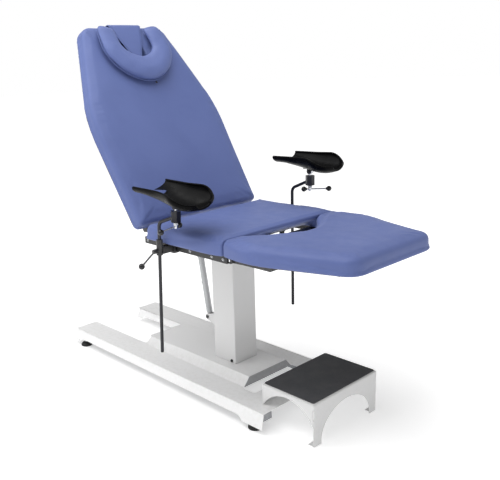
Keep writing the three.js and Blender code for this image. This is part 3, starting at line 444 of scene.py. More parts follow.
def carve(obj, *cutters):
    """Cuts away the cutters' volume, and removes them."""
    for cutter in cutters:
        use_modifier(obj, "BOOLEAN", operation="DIFFERENCE", object=cutter, solver="EXACT")
        bpy.data.objects.remove(cutter)


def cutter(bm, matrix=WORLD):
    return bare_object("cutter", bm, matrix)


def bezier(points, steps=14):
    """Points along a quadratic or cubic curve, without the first one."""
    points = [Vector(p) for p in points]
    made = []
    for i in range(1, steps + 1):
        level = points
        while len(level) > 1:
            level = [a.lerp(b, i / steps) for a, b in zip(level, level[1:])]
        made.append(tuple(level[0]))
    return made


def gently(value, start, end):
    """0 before start, 1 after end, and a smooth rise between."""
    t = min(1.0, max(0.0, (value - start) / (end - start)))
    return t * t * (3 - 2 * t)


def mirrored(half):
    """A closed outline from its +Y half, which starts and ends on the middle line."""
    return half + [(x, -y) for x, y in reversed(half[1:-1])]


# ---- cushions ------------------------------------------------------------------------------------
def seat_outline(inset):
    """The seat's outline, running on past the seam in front."""
    rear = SEAT["rear"] + inset
    side = SEAT["half"] - inset
    seam = SEAT["front"]
    half = [(rear, 0), (rear, side - 26)]
    half += bezier([(rear, side - 26), (rear, side), (rear + 26, side)])
    half += [(150, side)]
    half += bezier([(150, side), (seam - 40, side), (seam, side - 14)])
    half += [(seam + SEAM, side - 20), (seam + SEAM, 0)]
    return mirrored(half)


def leg_outline(inset):
    """The leg section's outline with its bay, running on past the seam behind."""
    rear = LEG["rear"]
    front = LEG["front"] - inset
    bay = LEG["bay_half"] + inset * 0.3
    deep = rear + LEG["bay_depth"] + inset
    half = [(deep, 0)]
    half += bezier([(deep, 0), (deep, bay * 0.5), (rear + 12, bay - 20), (rear, bay + 12)], 24)
    half += [(rear - SEAM, bay + 20), (rear - SEAM, 316 - inset), (rear, 322 - inset)]
    half += bezier([(rear, 322 - inset), (330, 337 - inset), (400, 338 - inset)])
    half += bezier([(400, 338 - inset), (480, 338 - inset), (545, 309 - inset)])
    half += [(front - 46, 247 - inset)]
    half += bezier([(front - 46, 247 - inset), (front, 230 - inset), (front, 180 - inset)])
    half += [(front, 0)]
    return mirrored(half)


def back_outline(inset):
    end = BACK["length"] - inset
    start = BACK["gap"] + inset
    half = [(-start, 0), (-start, 321 - inset)]
    half += bezier([(-start, 321 - inset), (-start, 345 - inset), (-start - 24, 345 - inset)])
    half += [(-430, 358 - inset)]
    half += bezier([(-430, 358 - inset), (-545, 359 - inset), (-620, 330 - inset)])
    half += [(50 - end, 244 - inset)]
    half += bezier([(50 - end, 244 - inset), (8 - end, 230 - inset), (-end, 190 - inset)])
    half += [(-end, 0)]
    return mirrored(half)


def swell(obj, cap, held_below, axis, voxel, still=None):
    """Blows a cover up over its foam by cloth simulation; its underside and seam stay where they are."""
    use_modifier(obj, "REMESH", mode="VOXEL", voxel_size=voxel)
    mesh = obj.data
    held = obj.vertex_groups.new(name="held")
    under = [v.index for v in mesh.vertices if v.co.dot(axis) < held_below or (still and still(v.co.x))]
    held.add(under, 1.0, "REPLACE")
    start = [v.co.copy() for v in mesh.vertices]
    cloth = obj.modifiers.new("cover", "CLOTH")
    settings = cloth.settings
    settings.quality = 4
    settings.mass = 0.3
    settings.tension_stiffness = 25
    settings.compression_stiffness = 25
    settings.shear_stiffness = 12
    settings.bending_stiffness = 2.5
    settings.use_pressure = True
    settings.uniform_pressure_force = 4
    settings.vertex_group_mass = "held"
    settings.effector_weights.gravity = 0
    cloth.collision_settings.use_collision = False
    scene = bpy.context.scene
    for step in range(1, 21):
        scene.frame_set(step)
    blown = obj.evaluated_get(bpy.context.evaluated_depsgraph_get()).to_mesh()
    moved = [v.co.copy() for v in blown.vertices]
    obj.modifiers.clear()
    obj.vertex_groups.clear()
    for vertex, before, after in zip(mesh.vertices, start, moved):
        step = after - before
        if step.length > cap:
            step *= cap / step.length
        vertex.co = before + step
    scene.frame_set(1)


def settle(obj, amount, scale, seed, flat=None, axis=Vector((0, 0, 1))):
    """A faint unevenness of the foam under the cover, fading out towards a flat underside."""
    shift = Vector((seed, seed * 2, seed * 3))
    normals = [v.normal.copy() for v in obj.data.vertices]
    for vertex, normal in zip(obj.data.vertices, normals):
        share = 1.0 if flat is None else min(max((vertex.co.dot(axis) - flat) / 0.012, 0.0), 1.0)
        vertex.co += normal * amount * share * noise.fractal(vertex.co * scale + shift, 1.0, 2.0, 3)


def dome(points, low, high, ease, matrix, name, *cutters):
    """A foam pad cut to an outline, its upper edge well rounded, with the cutters' volume taken away."""
    obj = bare_object(name, slab(points, low, high, ease, 5, under=7), matrix)
    carve(obj, *cutters)
    return obj


UPRIGHT = Matrix.Rotation(math.radians(90), 4, "X")  # stands an outline up: its Y becomes Z


def puff_flat_pad(obj, at_seam, seed):
    swell(obj, 0.005, (SEAT["low"] + 12) / 1000, Vector((0, 0, 1)), 0.006, at_seam)
    settle(obj, 0.0012, 7, seed, SEAT["low"] / 1000)


def seat_pad():
    """The seat, cut square at the seam and sloped away underneath over the slot."""
    lip_x, lip_z = SEAT["lip"]
    slope = [(lip_x, 680), (310, 680), (310, lip_z + (310 - lip_x) / 2), (lip_x, lip_z)]
    obj = dome(seat_outline(3), SEAT["low"], SEAT["high"] - 4, 24, WORLD, "seat_pad",
               cutter(block(SEAT["front"] + 1, 400, -400, 400, 600, 800, 0)),
               cutter(slab(slope, -SEAT["lip_half"], SEAT["lip_half"]), WORLD @ UPRIGHT))
    seam = DATUM.x + (SEAT["front"] - 9) / 1000
    puff_flat_pad(obj, lambda x: x > seam, 1.5)
    return soft(obj, VINYL, "base", "seat_cushion")


def leg_pad():
    obj = dome(leg_outline(3), SEAT["low"], SEAT["high"] - 4, 24, WORLD, "leg_pad",
               cutter(block(100, LEG["rear"] - 1, -400, 400, 600, 800, 0)))
    seam = DATUM.x + (LEG["rear"] + 8) / 1000
    puff_flat_pad(obj, lambda x: x < seam, 4.5)
    return soft(obj, VINYL, "leg_section", "leg_cushion")


def ellipse(x, half_length, half_width, count=48):
    angles = [2 * math.pi * i / count for i in range(count)]
    return [(x + half_length * math.cos(a), half_width * math.sin(a)) for a in angles]


def back_pad():
    hole = ellipse(FACE_HOLE["x"], FACE_HOLE["half_length"] + 4, FACE_HOLE["half_width"] + 4)
    obj = dome(back_outline(7), BACK["low"], BACK["high"] - 4, 20, ON_BACK, "back_pad",
               cutter(slab(hole, -200, 200), ON_BACK))
    normal = (ON_BACK.to_3x3() @ Vector((0, 0, 1))).normalized()
    rest_plane = (ON_BACK @ Vector((0, 0, BACK["low"] + 12))).dot(normal)
    swell(obj, 0.005, rest_plane, normal, 0.0075)
    settle(obj, 0.0014, 5, 8.5, rest_plane - 0.012, normal)
    return soft(obj, VINYL, "backrest", "backrest_cushion")


def soft(obj, material, body, node):
    obj.modifiers.new("fine", "SUBSURF").levels = 1
    apply_modifiers(obj)
    finish_piece(obj, material, body, [node], angle=0)
    return obj


PILLOW = {"half": 46, "middle": 59, "height": 46, "turn": -706,
          "line": [(-926, 118), (-865, 130), (-802, 129), (-752, 101), (-720, 55)]}


def smooth_line(points, count):
    """Points along a Catmull-Rom curve through the given points."""
    points = [Vector(p) for p in points]
    ends = [points[0] * 2 - points[1], *points, points[-1] * 2 - points[-2]]
    made = []
    for i in range(count + 1):
        run = min(i / count * (len(points) - 1), len(points) - 1 - 1e-6)
        k = int(run)
        t = run - k
        a, b, c, d = ends[k:k + 4]
        squared = (2 * a - 5 * b + 4 * c - d) * t**2
        cubed = (3 * b - a - 3 * c + d) * t**3
        made.append(0.5 * (2 * b + (c - a) * t + squared + cubed))
    return made


def pillow_line():
    half = PILLOW["line"]
    middle = STRAP_FACE + STRAP + 1 + PILLOW["height"] / 2
    points = [(x, -y, middle) for x, y in half] + [(PILLOW["turn"], 0, middle)]
    points += [(x, y, middle) for x, y in reversed(half)]
    return smooth_line(points, 60)


def pillow_half(run):
    """Half the tube's width: run 0 at the turn, 1 at the ends."""
    return PILLOW["middle"] + (PILLOW["half"] - PILLOW["middle"]) * gently(run, 0, 0.8)


def pillow():
    """The horseshoe head pillow: a soft tube whose ends narrow towards the head end."""
    line = pillow_line()
    bm = bmesh.new()
    rings = []
    sides = 28
    last = len(line) - 1
    for i, centre in enumerate(line):
        tangent = (line[min(i + 1, last)] - line[max(i - 1, 0)]).normalized()
        outward = Vector((-tangent.y, tangent.x, 0))
        run = abs(2 * i / last - 1)
        end = math.sqrt(max(0.02, 1 - max(0, (run - 0.9) / 0.1) ** 2))
        wide = pillow_half(run) * (1 - 0.12 * run**6) * (0.45 + 0.55 * end)
        tall = PILLOW["height"] / 2 * (1 - 0.5 * run**4) * (0.4 + 0.6 * end)
        centre = centre + Vector((0, 0, tall - PILLOW["height"] / 2))
        ring = []
        for j in range(sides):
            a = 2 * math.pi * j / sides
            c, s = math.cos(a), math.sin(a)
            flat = 0.86 if s < 0 else 1.0
            ring.append(bm.verts.new(centre
                                     + outward * wide * math.copysign(abs(c) ** 0.86, c)
                                     + Vector((0, 0, tall * flat * math.copysign(abs(s) ** 0.86, s)))))
        rings.append(ring)
    close_tube(bm, rings)
    obj = bare_object("pillow", bm, ON_BACK)
    normal = (ON_BACK.to_3x3() @ Vector((0, 0, 1))).normalized()
    underside = (ON_BACK @ Vector((0, 0, STRAP_FACE + STRAP + 4))).dot(normal)
    swell(obj, 0.005, underside, normal, 0.005)
    settle(obj, 0.002, 14, 12.5)
    obj = soft(obj, PILLOW_VINYL, "head_pillow", "head_pillow")
    piping = [p + Vector((0, 0, -6)) for p in offset_line(line, 1.5)]
    piece("pillow_piping", sweep(piping, 1.9, 10), ON_BACK, PILLOW_VINYL, "head_pillow")
    tab = gather((block(-5, 5, -9, 0, -1, 1, 0.6), at_mm(-640, 34, STRAP_FACE + 16)))
    piece("pillow_zip_tab", tab, ON_BACK, BLACK, "head_pillow")
    return obj


def offset_line(line, beyond):
    """The tube's outer edge, moved out a little, over the middle nine tenths of its length."""
    last = len(line) - 1
    made = []
    for i in range(3, last - 2):
        tangent = (line[i + 1] - line[i - 1]).normalized()
        wide = pillow_half(abs(2 * i / last - 1)) + beyond
        made.append(line[i] + Vector((tangent.y, -tangent.x, 0)) * wide)
    return made


def strap_sections():
    """(point, outward normal, half width) from the flap's tip over the head end and down the back."""
    end = 7 - BACK["length"]
    face = STRAP_FACE + STRAP / 2
    back = BOARD_BACK - 0.3 - STRAP / 2
    sections = []
    for i in range(15):
        run = i / 14
        x = -752 + run * (end + 12 + 752)
        wide = 85 * (0.1 + 0.9 * run**0.85) if run < 0.999 else 85
        sections.append((Vector((x, 0, face)), Vector((0, 0, 1)), wide))
    corner = 20
    for top in (True, False):
        centre_z = face - corner if top else back + corner
        for i in range(1, 8):
            angle = math.radians(90 * i / 7)
            turn = angle if top else angle + math.pi / 2
            out = Vector((-math.sin(turn), 0, math.cos(turn)))
            sections.append((Vector((end + corner - 2.8, 0, centre_z)) + out * corner, out, 85))
    for i in range(1, 8):
        sections.append((Vector((end + 10 + 15 * i, 0, back)), Vector((0, 0, -1)), 85))
    return sections


def strap():
    """The tapering flap that holds the pillow, puffed a little between its stitched edges."""
    sections = strap_sections()
    across = 16
    bm = bmesh.new()
    grid = []
    for centre, out, wide in sections:
        row = []
        for j in range(across + 1):
            v = 2 * j / across - 1
            puff = 0.9 * (1 - abs(v) ** 3)
            row.append(bm.verts.new(centre + Vector((0, v * wide, 0)) + out * puff))
        grid.append(row)
    sheet(bm, grid)
    obj = bare_object("pillow_strap", bm, ON_BACK)
    use_modifier(obj, "SOLIDIFY", thickness=0.0027, offset=0)
    use_modifier(obj, "BEVEL", width=0.0008, segments=2, limit_method="ANGLE")
    use_modifier(obj, "SUBSURF", levels=1)
    finish_piece(obj, VINYL, "backrest", ["head_strap"], angle=0)
    rows = []
    for _, sign in SIDES:
        edge = [c + Vector((0, sign * (w - 7), 0)) + o * 2.6 for c, o, w in sections[3:]]
        rows += stitches(edge)
    piece("strap_stitching", gather(*rows), ON_BACK, THREAD, "backrest")


def stitches(line, pitch=7, length=4.6, radius=0.55):
    """Short lengths of thread laid end to end along a line."""
    made = []
    spare = 0
    for a, b in zip(line, line[1:]):
        way = b - a
        run = spare
        while run + length < way.length:
            start = a + way.normalized() * run
            made.append(sweep([start, start + way.normalized() * length], radius, 6, 0.2))
            run += pitch
        spare = max(0, run - way.length)
    return made


# ---- sheet steel ---------------------------------------------------------------------------------
def folded(top, bottom, open_edges, height, floor, radius, thickness, name):
    """Folded sheet: a flat top with skirts from its edges down to matching points, creases rounded."""
    bm = bmesh.new()
    upper = [bm.verts.new((x, y, height)) for x, y in top]
    lower = [bm.verts.new((x, y, floor)) for x, y in bottom]
    bm.faces.new(upper)
    count = len(top)
    for i in range(count):
        j = (i + 1) % count
        if i not in open_edges:
            bm.faces.new((upper[i], upper[j], lower[j], lower[i]))
    bm.normal_update()
    creases = [e for e in bm.edges if len(e.link_faces) == 2]
    bmesh.ops.bevel(bm, geom=creases, offset=radius, segments=5, profile=0.5, affect="EDGES")
    loose = [v for v in bm.verts if not v.link_faces]
    bmesh.ops.delete(bm, geom=loose, context="VERTS")
    bmesh.ops.recalc_face_normals(bm, faces=bm.faces)
    flat = max(bm.faces, key=lambda f: f.calc_area())
    if flat.normal.z < 0:
        bmesh.ops.reverse_faces(bm, faces=bm.faces)
    obj = bare_object(name, bm)
    use_modifier(obj, "SOLIDIFY", thickness=thickness / 1000, offset=-1, use_even_offset=True)
    return obj


def two_armed_plate(front, rear, half):
    """The base's outline: a plate with a bay between its two rear arms."""
    bay, bay_half = BASE["bay_front"], BASE["bay_half"]
    return [(rear, -half), (front, -half), (front, half), (rear, half), (rear, bay_half), (bay, bay_half),
            (bay, -bay_half), (rear, -bay_half)]


def base_cover():
    ahead, behind, aside = BASE["splay"]
    top = two_armed_plate(BASE["front"], BASE["rear"], BASE["half"])
    bottom = two_armed_plate(BASE["front"] + ahead, BASE["rear"] - behind, BASE["half"] + aside)
    obj = folded(top, bottom, (1,), BASE["top"], BASE["floor"], 7, 2.4, "base_shell")
    edge = [(-880, 0), (-880, 25), (-874, 36), (-858, 41)]
    edge += [(268, 41), (283, 36), (294, 26), (295, 0)]
    profile = slab(edge, -400, 400)
    window = rounded_rectangle(187, 255, 150, 14)
    carve(obj, cutter(profile, WORLD @ UPRIGHT), cutter(slab(window, 70, 100)))
    # The base cover takes the white painted lighter, as painted light.
    return finish_piece(obj, COAT_LIGHTENED_AS_LIGHT, "base", ["base_cover"], 30)


def rectangle(x0, x1, half):
    return [(x0, -half), (x1, -half), (x1, half), (x0, half)]


def rounded_rectangle(x0, x1, half, radius, steps=8):
    made = []
    for cx, cy, start in ((x1 - radius, half - radius, 0), (x0 + radius, half - radius, 90),
                          (x0 + radius, radius - half, 180), (x1 - radius, radius - half, 270)):
        for i in range(steps + 1):
            a = math.radians(start + 90 * i / steps)
            made.append((cx + radius * math.cos(a), cy + radius * math.sin(a)))
    return made


def tunnel():
    behind, aside = TUNNEL["splay"]
    top = rectangle(TUNNEL["rear"], TUNNEL["front"], TUNNEL["half"])
    bottom = rectangle(TUNNEL["rear"] - behind, TUNNEL["front"], TUNNEL["half"] + aside)
    obj = folded(top, bottom, (1,), TUNNEL["top"], BASE["top"] + 0.4, 5, 1.8, "tunnel_shell")
    hole = TUNNEL["column_half"]
    carve(obj, cutter(slab(rectangle(-hole, hole, hole), 100, 140)))
    # The tunnel takes the white painted lighter, as painted light.
    finish_piece(obj, COAT_LIGHTENED_AS_LIGHT, "base", ["tunnel_cover"], 30)


def step():
    rear, front, half, top = STEP["rear"], STEP["front"], STEP["half"], STEP["top"]
    obj = bare_object("step_shell", block(rear, front, -half, half, -30, top, 8, 4))
    arch_x, arch_half, inner = STEP["arch_x"], STEP["arch_half"], front - 3.2
    first = math.acos((inner - arch_x) / arch_half)
    angles = [first + (math.pi - first) * i / 40 for i in range(41)]
    side = [(arch_x + arch_half * math.cos(a), STEP["arch_top"] * math.sin(a)) for a in angles]
    side += [(arch_x - arch_half, -20), (inner, -20)]
    long_way = Matrix.Rotation(math.radians(90), 4, "Z") @ UPRIGHT
    across = [(150 * math.cos(a), 10 + 118 * math.sin(a)) for a in arc_angles(64)]
    slits = [cutter(block(front - 6, front + 5, *sorted((s * (half - 6), s * (half + 5))), 109, 146, 0))
             for _, s in SIDES]
    carve(
        obj,
        cutter(block(rear + 3, front - 3, 3 - half, half - 3, -60, top - 3, 4, 2)),
        cutter(block(rear - 30, front + 30, -300, 300, -60, 0, 0)),
        cutter(slab(side, -400, 400), WORLD @ UPRIGHT),
        cutter(slab(across, 200, 700), WORLD @ long_way),
        cutter(block(rear - 30, arch_x, -300, 300, -20, BASE["top"] + 0.4, 0)),
        *slits,
    )
    tabs = [block(front - 30, front - 4, *sorted((s * (half - 34), s * (half - 4))), 0, 3, 0.8)
            for _, s in SIDES]
    # The step takes the white painted darker, as painted shade.
    finish_piece(obj, COAT_DARKENED_AS_SHADE, "base", ["step_frame"], 30)
    piece("step_toes", gather(*tabs), WORLD, COAT_DARKENED_AS_SHADE, "base")
    mat = slab(rounded_rectangle(344, 586, 187, 8), top + 0.3, top + 2.8, 0.9, 3)
    piece("step_mat_skin", mat, WORLD, MAT, "base", ["step_mat"])
    ribs = []
    for i in range(45):
        x = 350 + i * 5.2
        ribs.append(block(x, x + 2.2, -181, 181, top + 2.4, top + 3.2, 0.35, 1))
    piece("step_mat_ribs", gather(*ribs), WORLD, MAT, "base")


def arc_angles(count):
    return [2 * math.pi * i / count for i in range(count)]


# ---- small metal pieces --------------------------------------------------------------------------
def socket_screw(radius=6.4, height=2.6):
    """A button head with a round socket recess, its seat at z = 0."""
    shares = [(0, 0), (1, 0), (1, 0.35), (0.86, 0.78), (0.6, 1), (0.42, 1), (0.4, 0.35), (0, 0.35)]
    return lathe([(radius * across, height * up) for across, up in shares], 24)


def hex_bolt(flats=13, height=5, washer=9):
    return gather(
        lathe(eased(washer, 0, 1.4, 0.3), 28),
        slab(hexagon(flats), 1.4, height + 1.4, 0.6, 2),
        lathe(eased(3.4, height + 0.8, height + 2.6, 0.5), 20),
    )


def facing(x, y, z, way):
    """Places a piece drawn along +Z so that it points along way instead."""
    turn = Vector((0, 0, 1)).rotation_difference(Vector(way)).to_matrix().to_4x4()
    return at_mm(x, y, z) @ turn


def screws():
    heads = []
    for _, sign in SIDES:
        for x in (-195, -110, 67, 190, 250):
            heads.append((socket_screw(), facing(x, sign * RAIL["outer"], RAIL["middle"], (0, sign, 0))))
    piece("rail_screws", gather(*heads), WORLD, CHROME, "base")
    bolts = [(hex_bolt(10, 4, 7), facing(42, -65, 131, (0, -1, 0)))]
    piece("column_bolt", gather(*bolts), WORLD, DARK_STEEL, "base")
    under = []
    for x in (-110, 240):
        for _, sign in SIDES:
            for y in (150, 240):
                under.append((hex_bolt(10, 4, 8), facing(x, sign * y, 657, (0, 0, -1))))
    piece("seat_frame_bolts", gather(*under), WORLD, DARK_STEEL, "base")


def feet():
    profile = [(0, 0), (25.5, 0), (28, 1.5), (28.5, 3), (28.5, 8), (27, 11), (23.5, 14.5), (18, 18.6),
               (15, 20), (12, 20.6), (0, 20.6)]
    for end in ("front", "rear"):
        for side, sign in SIDES:
            name = f"foot_{end}_{side}"
            here = place(FOOT[end], sign * FOOT["y"])
            piece(f"{name}_pad", lathe(profile, 44), here, RUBBER, name, [name])
            turns = [(0, 20)]
            for i in range(20):
                turns += [(5.9, 20 + i * 2.2), (5.3, 21.1 + i * 2.2)]
            turns += [(5.6, 64.6), (0, 65.4)]
            stud = gather(lathe(turns, 20), slab(hexagon(19), 19.4, 27, 0.8, 2))
            piece(f"{name}_stud", stud, here, CHROME, name)


def gas_spring():
    foot, head = SPRING["foot"], SPRING["head"]
    dx, dz = head[0] - foot[0], head[1] - foot[1]
    length = math.hypot(dx, dz)
    here = place(foot[0], 0, foot[1], lean=math.degrees(math.atan2(dx, dz)))
    r = SPRING["radius"]
    outside = [(0, 13), (9, 13), (13, 17), (13.8, 20), (13.8, 37), (12.5, 40), (r, 42), (r, 284)]
    mouth = [(r - 0.5, 287), (r - 2.6, 291.5), (5.6, 291.8)]
    bore = [(5.6, 46), (0, 46)]
    tube = lathe(outside + mouth + bore, 44)
    eye = (lathe([(0, -6.4), (11, -6.4), (12, -5.4), (12, 5.4), (11, 6.4), (0, 6.4)], 40), FACE_Y)
    neck = block(-7, 7, -6.2, 6.2, 4, 18, 1.2)
    piece("spring_tube", gather(tube, eye, neck), here, SPRING_GREY, "spring_tube",
          ["spring_cylinder"])
    rod = lathe([(0, 190), (5, 190), (5, length - 20), (6.4, length - 19), (6.4, length - 9),
                 (0, length - 8.6)], 32)
    top_eye = (lathe([(0, -6.3), (8.2, -6.3), (9, -5.5), (9, 5.5), (8.2, 6.3), (0, 6.3)], 36),
               at_mm(0, 0, length) @ FACE_Y)
    piece("spring_piston", gather(rod, top_eye), here, CHROME, "spring_piston", ["spring_rod"])
    x = -r - 3.4
    wire = sweep([(x, 0, 140), (x, 0, 286)], 2.9, 16)
    clips = [lathe([(0, z), (4.6, z), (5, z + 0.6), (5, z + 7.4), (4.6, z + 8), (0, z + 8)], 20)
             for z in (150, 268)]
    parts = [wire] + [(clip, at_mm(x + 0.4, 0, 0)) for clip in clips]
    piece("release_wire", gather(*parts), here, BLACK, "spring_tube", ["release_rod"])


# ---- leg rests -----------------------------------------------------------------------------------
def rod_path(bend):
    """The rod's middle line: straight up, an arc, then the rising arm."""
    arm = Vector((ROD["reach"], 0, ROD["rise"]))
    out = arm.normalized()
    corner = Vector((0, 0, bend))
    turn = math.pi / 2 - math.atan2(ROD["rise"], ROD["reach"])
    ease = ROD["ease"] * math.tan(turn / 2)
    points = [Vector((0, 0, bend - ROD["drop"])), Vector((0, 0, bend - ease))]
    centre = Vector((ROD["ease"], 0, bend - ease))
    for i in range(1, 15):
        a = turn * i / 14
        points.append(centre + Vector((-math.cos(a), 0, math.sin(a))) * ROD["ease"])
    points.append(corner + out * (arm.length - 10))
    return points


def bar_point(rest, reach):
    a = math.radians(rest["turn"])
    return Vector((reach * math.cos(a), reach * math.sin(a), -HOLDER["bar_drop"]))


def ball_knob(centre, towards, radius):
    """A round knob with a short collar where its bar enters."""
    profile = [(0, -1.5), (5.6, -1.8), (5.6, 1.2), (4.6, 2), (0, 2)]
    collar = lathe([(r, radius + z) for r, z in profile], 24)
    return [(sphere(radius), at_mm(*centre)), (collar, facing(*centre, towards))]


def shell_bodies(rest_side):
    return f"shell_{rest_side}", f"leg_shell_{rest_side}"


def shell_point(run, v):
    """A point of the knee trough's inner face: run 0 at the head end to 1 at the foot, v from -1 to 1."""
    x = SHELL["head"] + (SHELL["foot"] - SHELL["head"]) * run
    tip = max(0.0, (run - 0.74) / 0.28)
    half = (SHELL["half"] + SHELL["flare"] * gently(x, -30, 80)) * math.sqrt(1 - tip * tip)
    fall = SHELL["drop"] * gently(x, SHELL["drop_from"], SHELL["foot"])
    belly = SHELL["shallow"] + (SHELL["deep"] - SHELL["shallow"]) * gently(run * 1.1, 0, 1)
    depth = belly * math.sqrt(1 - 0.35 * tip * tip) - fall - SHELL["wall"]
    angle = v * math.pi / 2
    return Vector((x, half * math.sin(angle), SHELL["rim"] - fall - depth * math.cos(angle)))


def rim_line():
    """Once round the trough's rim, from the head end's right corner to its left one."""
    line = [shell_point(i / 30, -1) for i in range(31)]
    line += [shell_point(1, -1 + i / 10) for i in range(1, 20)]
    line += [shell_point(1 - i / 30, 1) for i in range(31)]
    return [p + Vector((0, 0, -1)) for p in line]


def knee_shell(side, here):
    body, node = shell_bodies(side)
    bm = bmesh.new()
    along, across = 44, 36
    grid = [[bm.verts.new(shell_point(i / along, 2 * j / across - 1)) for j in range(across + 1)]
            for i in range(along + 1)]
    sheet(bm, grid)
    middle = min(bm.faces, key=lambda f: f.calc_center_median().z)
    if middle.normal.z < 0:
        bmesh.ops.reverse_faces(bm, faces=bm.faces)
    obj = bare_object(f"knee_shell_{side}", bm, here)
    use_modifier(obj, "SOLIDIFY", thickness=SHELL["wall"] / 1000, offset=-1, use_even_offset=True)
    bar, mouth = SHELL["rim"] - SHELL["side_bar"], SHELL["open_head"]
    below = [(-150, bar), (mouth - 34, bar), (mouth - 12, bar - 10), (mouth, bar - 34), (mouth, -20),
             (-150, -20)]
    carve(obj, cutter(slab(below, -200, 200), here @ UPRIGHT))
    use_modifier(obj, "BEVEL", width=0.0022, segments=3, limit_method="ANGLE", angle_limit=math.radians(50))
    use_modifier(obj, "SUBSURF", levels=1)
    finish_piece(obj, SHELL_BLACK, body, [node], 60)
    k = HOLDER["knuckle"]
    parts = [block(-26, 12, -15, 15, k + 11, k + 15, 1.2), block(-26, -18, -12, 12, k + 12, k + 20, 1)]
    for sign in (-1, 1):
        y = sorted((sign * 6.5, sign * 11))
        parts.append((lathe(eased(11, y[0], y[1], 0.8), 36), at_mm(0, 0, k) @ FACE_Y))
        parts.append(block(-10, 10, *y, k, k + 13.5, 0.8))
    parts.append((hex_bolt(8, 3, 6), facing(0, -11, k, (0, -1, 0))))
    parts.append((hex_bolt(8, 3, 6), facing(0, 11, k, (0, 1, 0))))
    piece(f"shell_bracket_{side}", gather(*parts), here, BLACK, body)
    bead = sweep(rim_line(), SHELL["bead"], 16, 2.4)
    piece(f"shell_bead_{side}", bead, here, SHELL_BLACK, body)


def leg_rest(side, rest):
    sign = rest["sign"]
    clamp = (rest["x"], sign * ROD["y"], RAIL["middle"])
    leaning = place(*clamp, lean=rest["lean"])
    holder = leaning @ at_mm(ROD["reach"], 0, rest["bend"] + ROD["rise"])
    cradle = holder @ Matrix.Rotation(math.radians(SHELL["turn"]), 4, "Z")

    piece(f"rod_{side}", sweep(rod_path(rest["bend"]), ROD["radius"], 32, 1.4), leaning, DARK_STEEL,
          f"rod_{side}", [f"support_rod_{side}"])

    slope = math.radians(LEVER["slope"])
    tip = Vector((-LEVER["reach"] * math.cos(slope), sign * 25, LEVER["reach"] * math.sin(slope)))
    hub = Vector((0, sign * 25, 0))
    arm_end = tip.lerp(hub, (LEVER["ball"] - 1) / LEVER["reach"])
    hub_profile = [(0, 17.6), (8, 17.6), (9, 18.6), (9, 30), (7.6, 31.8), (0, 32)]
    turned = facing(0, 0, 0, (0, sign, 0))
    lever = gather((lathe(hub_profile, 36), turned), (lathe(eased(4.4, 8.2, 20, 0.4), 24), turned),
                   sweep([hub, arm_end], 3.6, 20))
    piece(f"lever_{side}_arm", lever, leaning, BLACK, f"lever_{side}", [f"clamp_lever_{side}"])
    knob = gather(*ball_knob(tip, hub - tip, LEVER["ball"] - 0.2))
    piece(f"lever_{side}_knob", knob, leaning, BALL_BLACK, f"lever_{side}",
          [f"lever_ball_{side}"])

    k = HOLDER["knuckle"]
    eye = lathe(eased(11, -6, 6, 1), 40)
    post = gather(lathe(eased(HOLDER["post"], -20, k - 6, 0.8), 32), (eye, at_mm(0, 0, k) @ FACE_Y))
    piece(f"post_{side}_steel", post, cradle, CHROME, f"post_{side}", [f"holder_post_{side}"])

    drop = -HOLDER["bar_drop"]
    grips = []
    for i in range(24):
        a = 2 * math.pi * i / 24
        grip = block(-0.5, 0.5, -0.5, 0.5, drop + 6.5, -23, 0.2, 1)
        grips.append((grip, at_mm(7.6 * math.cos(a), 7.6 * math.sin(a), 0)))
    collar = lathe([(0, drop - 7), (6.4, drop - 7), (7.5, drop - 5.6), (7.5, -23), (6.6, -21.4),
                    (0, -21.4)], 36)
    bar = sweep([bar_point(rest, 2 - rest["short"]), bar_point(rest, rest["long"] - 3)], 3, 18)
    piece(f"cross_bar_{side}", gather(collar, bar, *grips), holder, CHROME, f"bar_{side}",
          [f"bar_handle_{side}"])
    for end, reach in (("long", rest["long"]), ("short", -rest["short"])):
        centre = bar_point(rest, reach)
        inward = bar_point(rest, 0) - centre
        knob = gather(*ball_knob(centre, inward, 11.4))
        piece(f"bar_knob_{end}_{side}", knob, holder, BALL_BLACK, f"bar_{side}",
              [f"bar_ball_{end}_{side}"])
    knee_shell(side, cradle)


# ---- the CAD nodes that stay ---------------------------------------------------------------------
KEPT = {
    # The column and the lower spring bracket take the white painted darker, as painted shade.
    COAT_DARKENED_AS_SHADE: ["column", "spring_lower_bracket"],
    # The tunnel's front plate: grey partly its own, partly painted shade.
    GREY_PLATE_AND_SHADE: ["tunnel_front_plate"],
    GREY: ["underframe"],
    BLACK: ["seat_frame", "backrest_frame", "leg_frame", "spring_upper_bracket", "spring_pin"]
    + [f"{n}_{s}" for n in ("side_rail", "backrest_bracket", "leg_bracket", "rod_clamp") for s, _ in SIDES],
    CHROME: [f"{n}_{s}" for n in ("backrest_pin", "leg_pin") for s, _ in SIDES],
    DARK_STEEL: [f"holder_block_{s}" for s, _ in SIDES],
    PLYWOOD: ["seat_board", "backrest_board", "leg_board"],
}
EASED = {"column": 3.0, "seat_frame": 0.8, "tunnel_front_plate": 0.5, "underframe": 0.8,
         "backrest_frame": 0.8, "leg_frame": 0.8}
for rest_side in RESTS:
    EASED[f"side_rail_{rest_side}"] = 1.2
    EASED[f"holder_block_{rest_side}"] = 1.0
    EASED[f"rod_clamp_{rest_side}"] = 0.9


def dress_frame():
    for material, names in KEPT.items():
        for name in names:
            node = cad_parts[name]
            node.data.materials.clear()
            node.data.materials.append(material)
            node.data.shade_smooth()
            node.data.set_sharp_from_angle(angle=math.radians(32))
            if name in EASED:
                bevel = node.modifiers.new("eased edges", "BEVEL")
                bevel.width = EASED[name] / 1000
                bevel.segments = 3
                bevel.limit_method = "ANGLE"
                bevel.angle_limit = math.radians(50)
                bevel.harden_normals = True


# ---- studio --------------------------------------------------------------------------------------
CAMERA = {"place": (1946.95, -1865.92, 1339.49), "yaw": 48.40, "pitch": -16.84, "roll": -2.59,
          "lens": 48.05, "shift": (0.0826, 0.0574)}


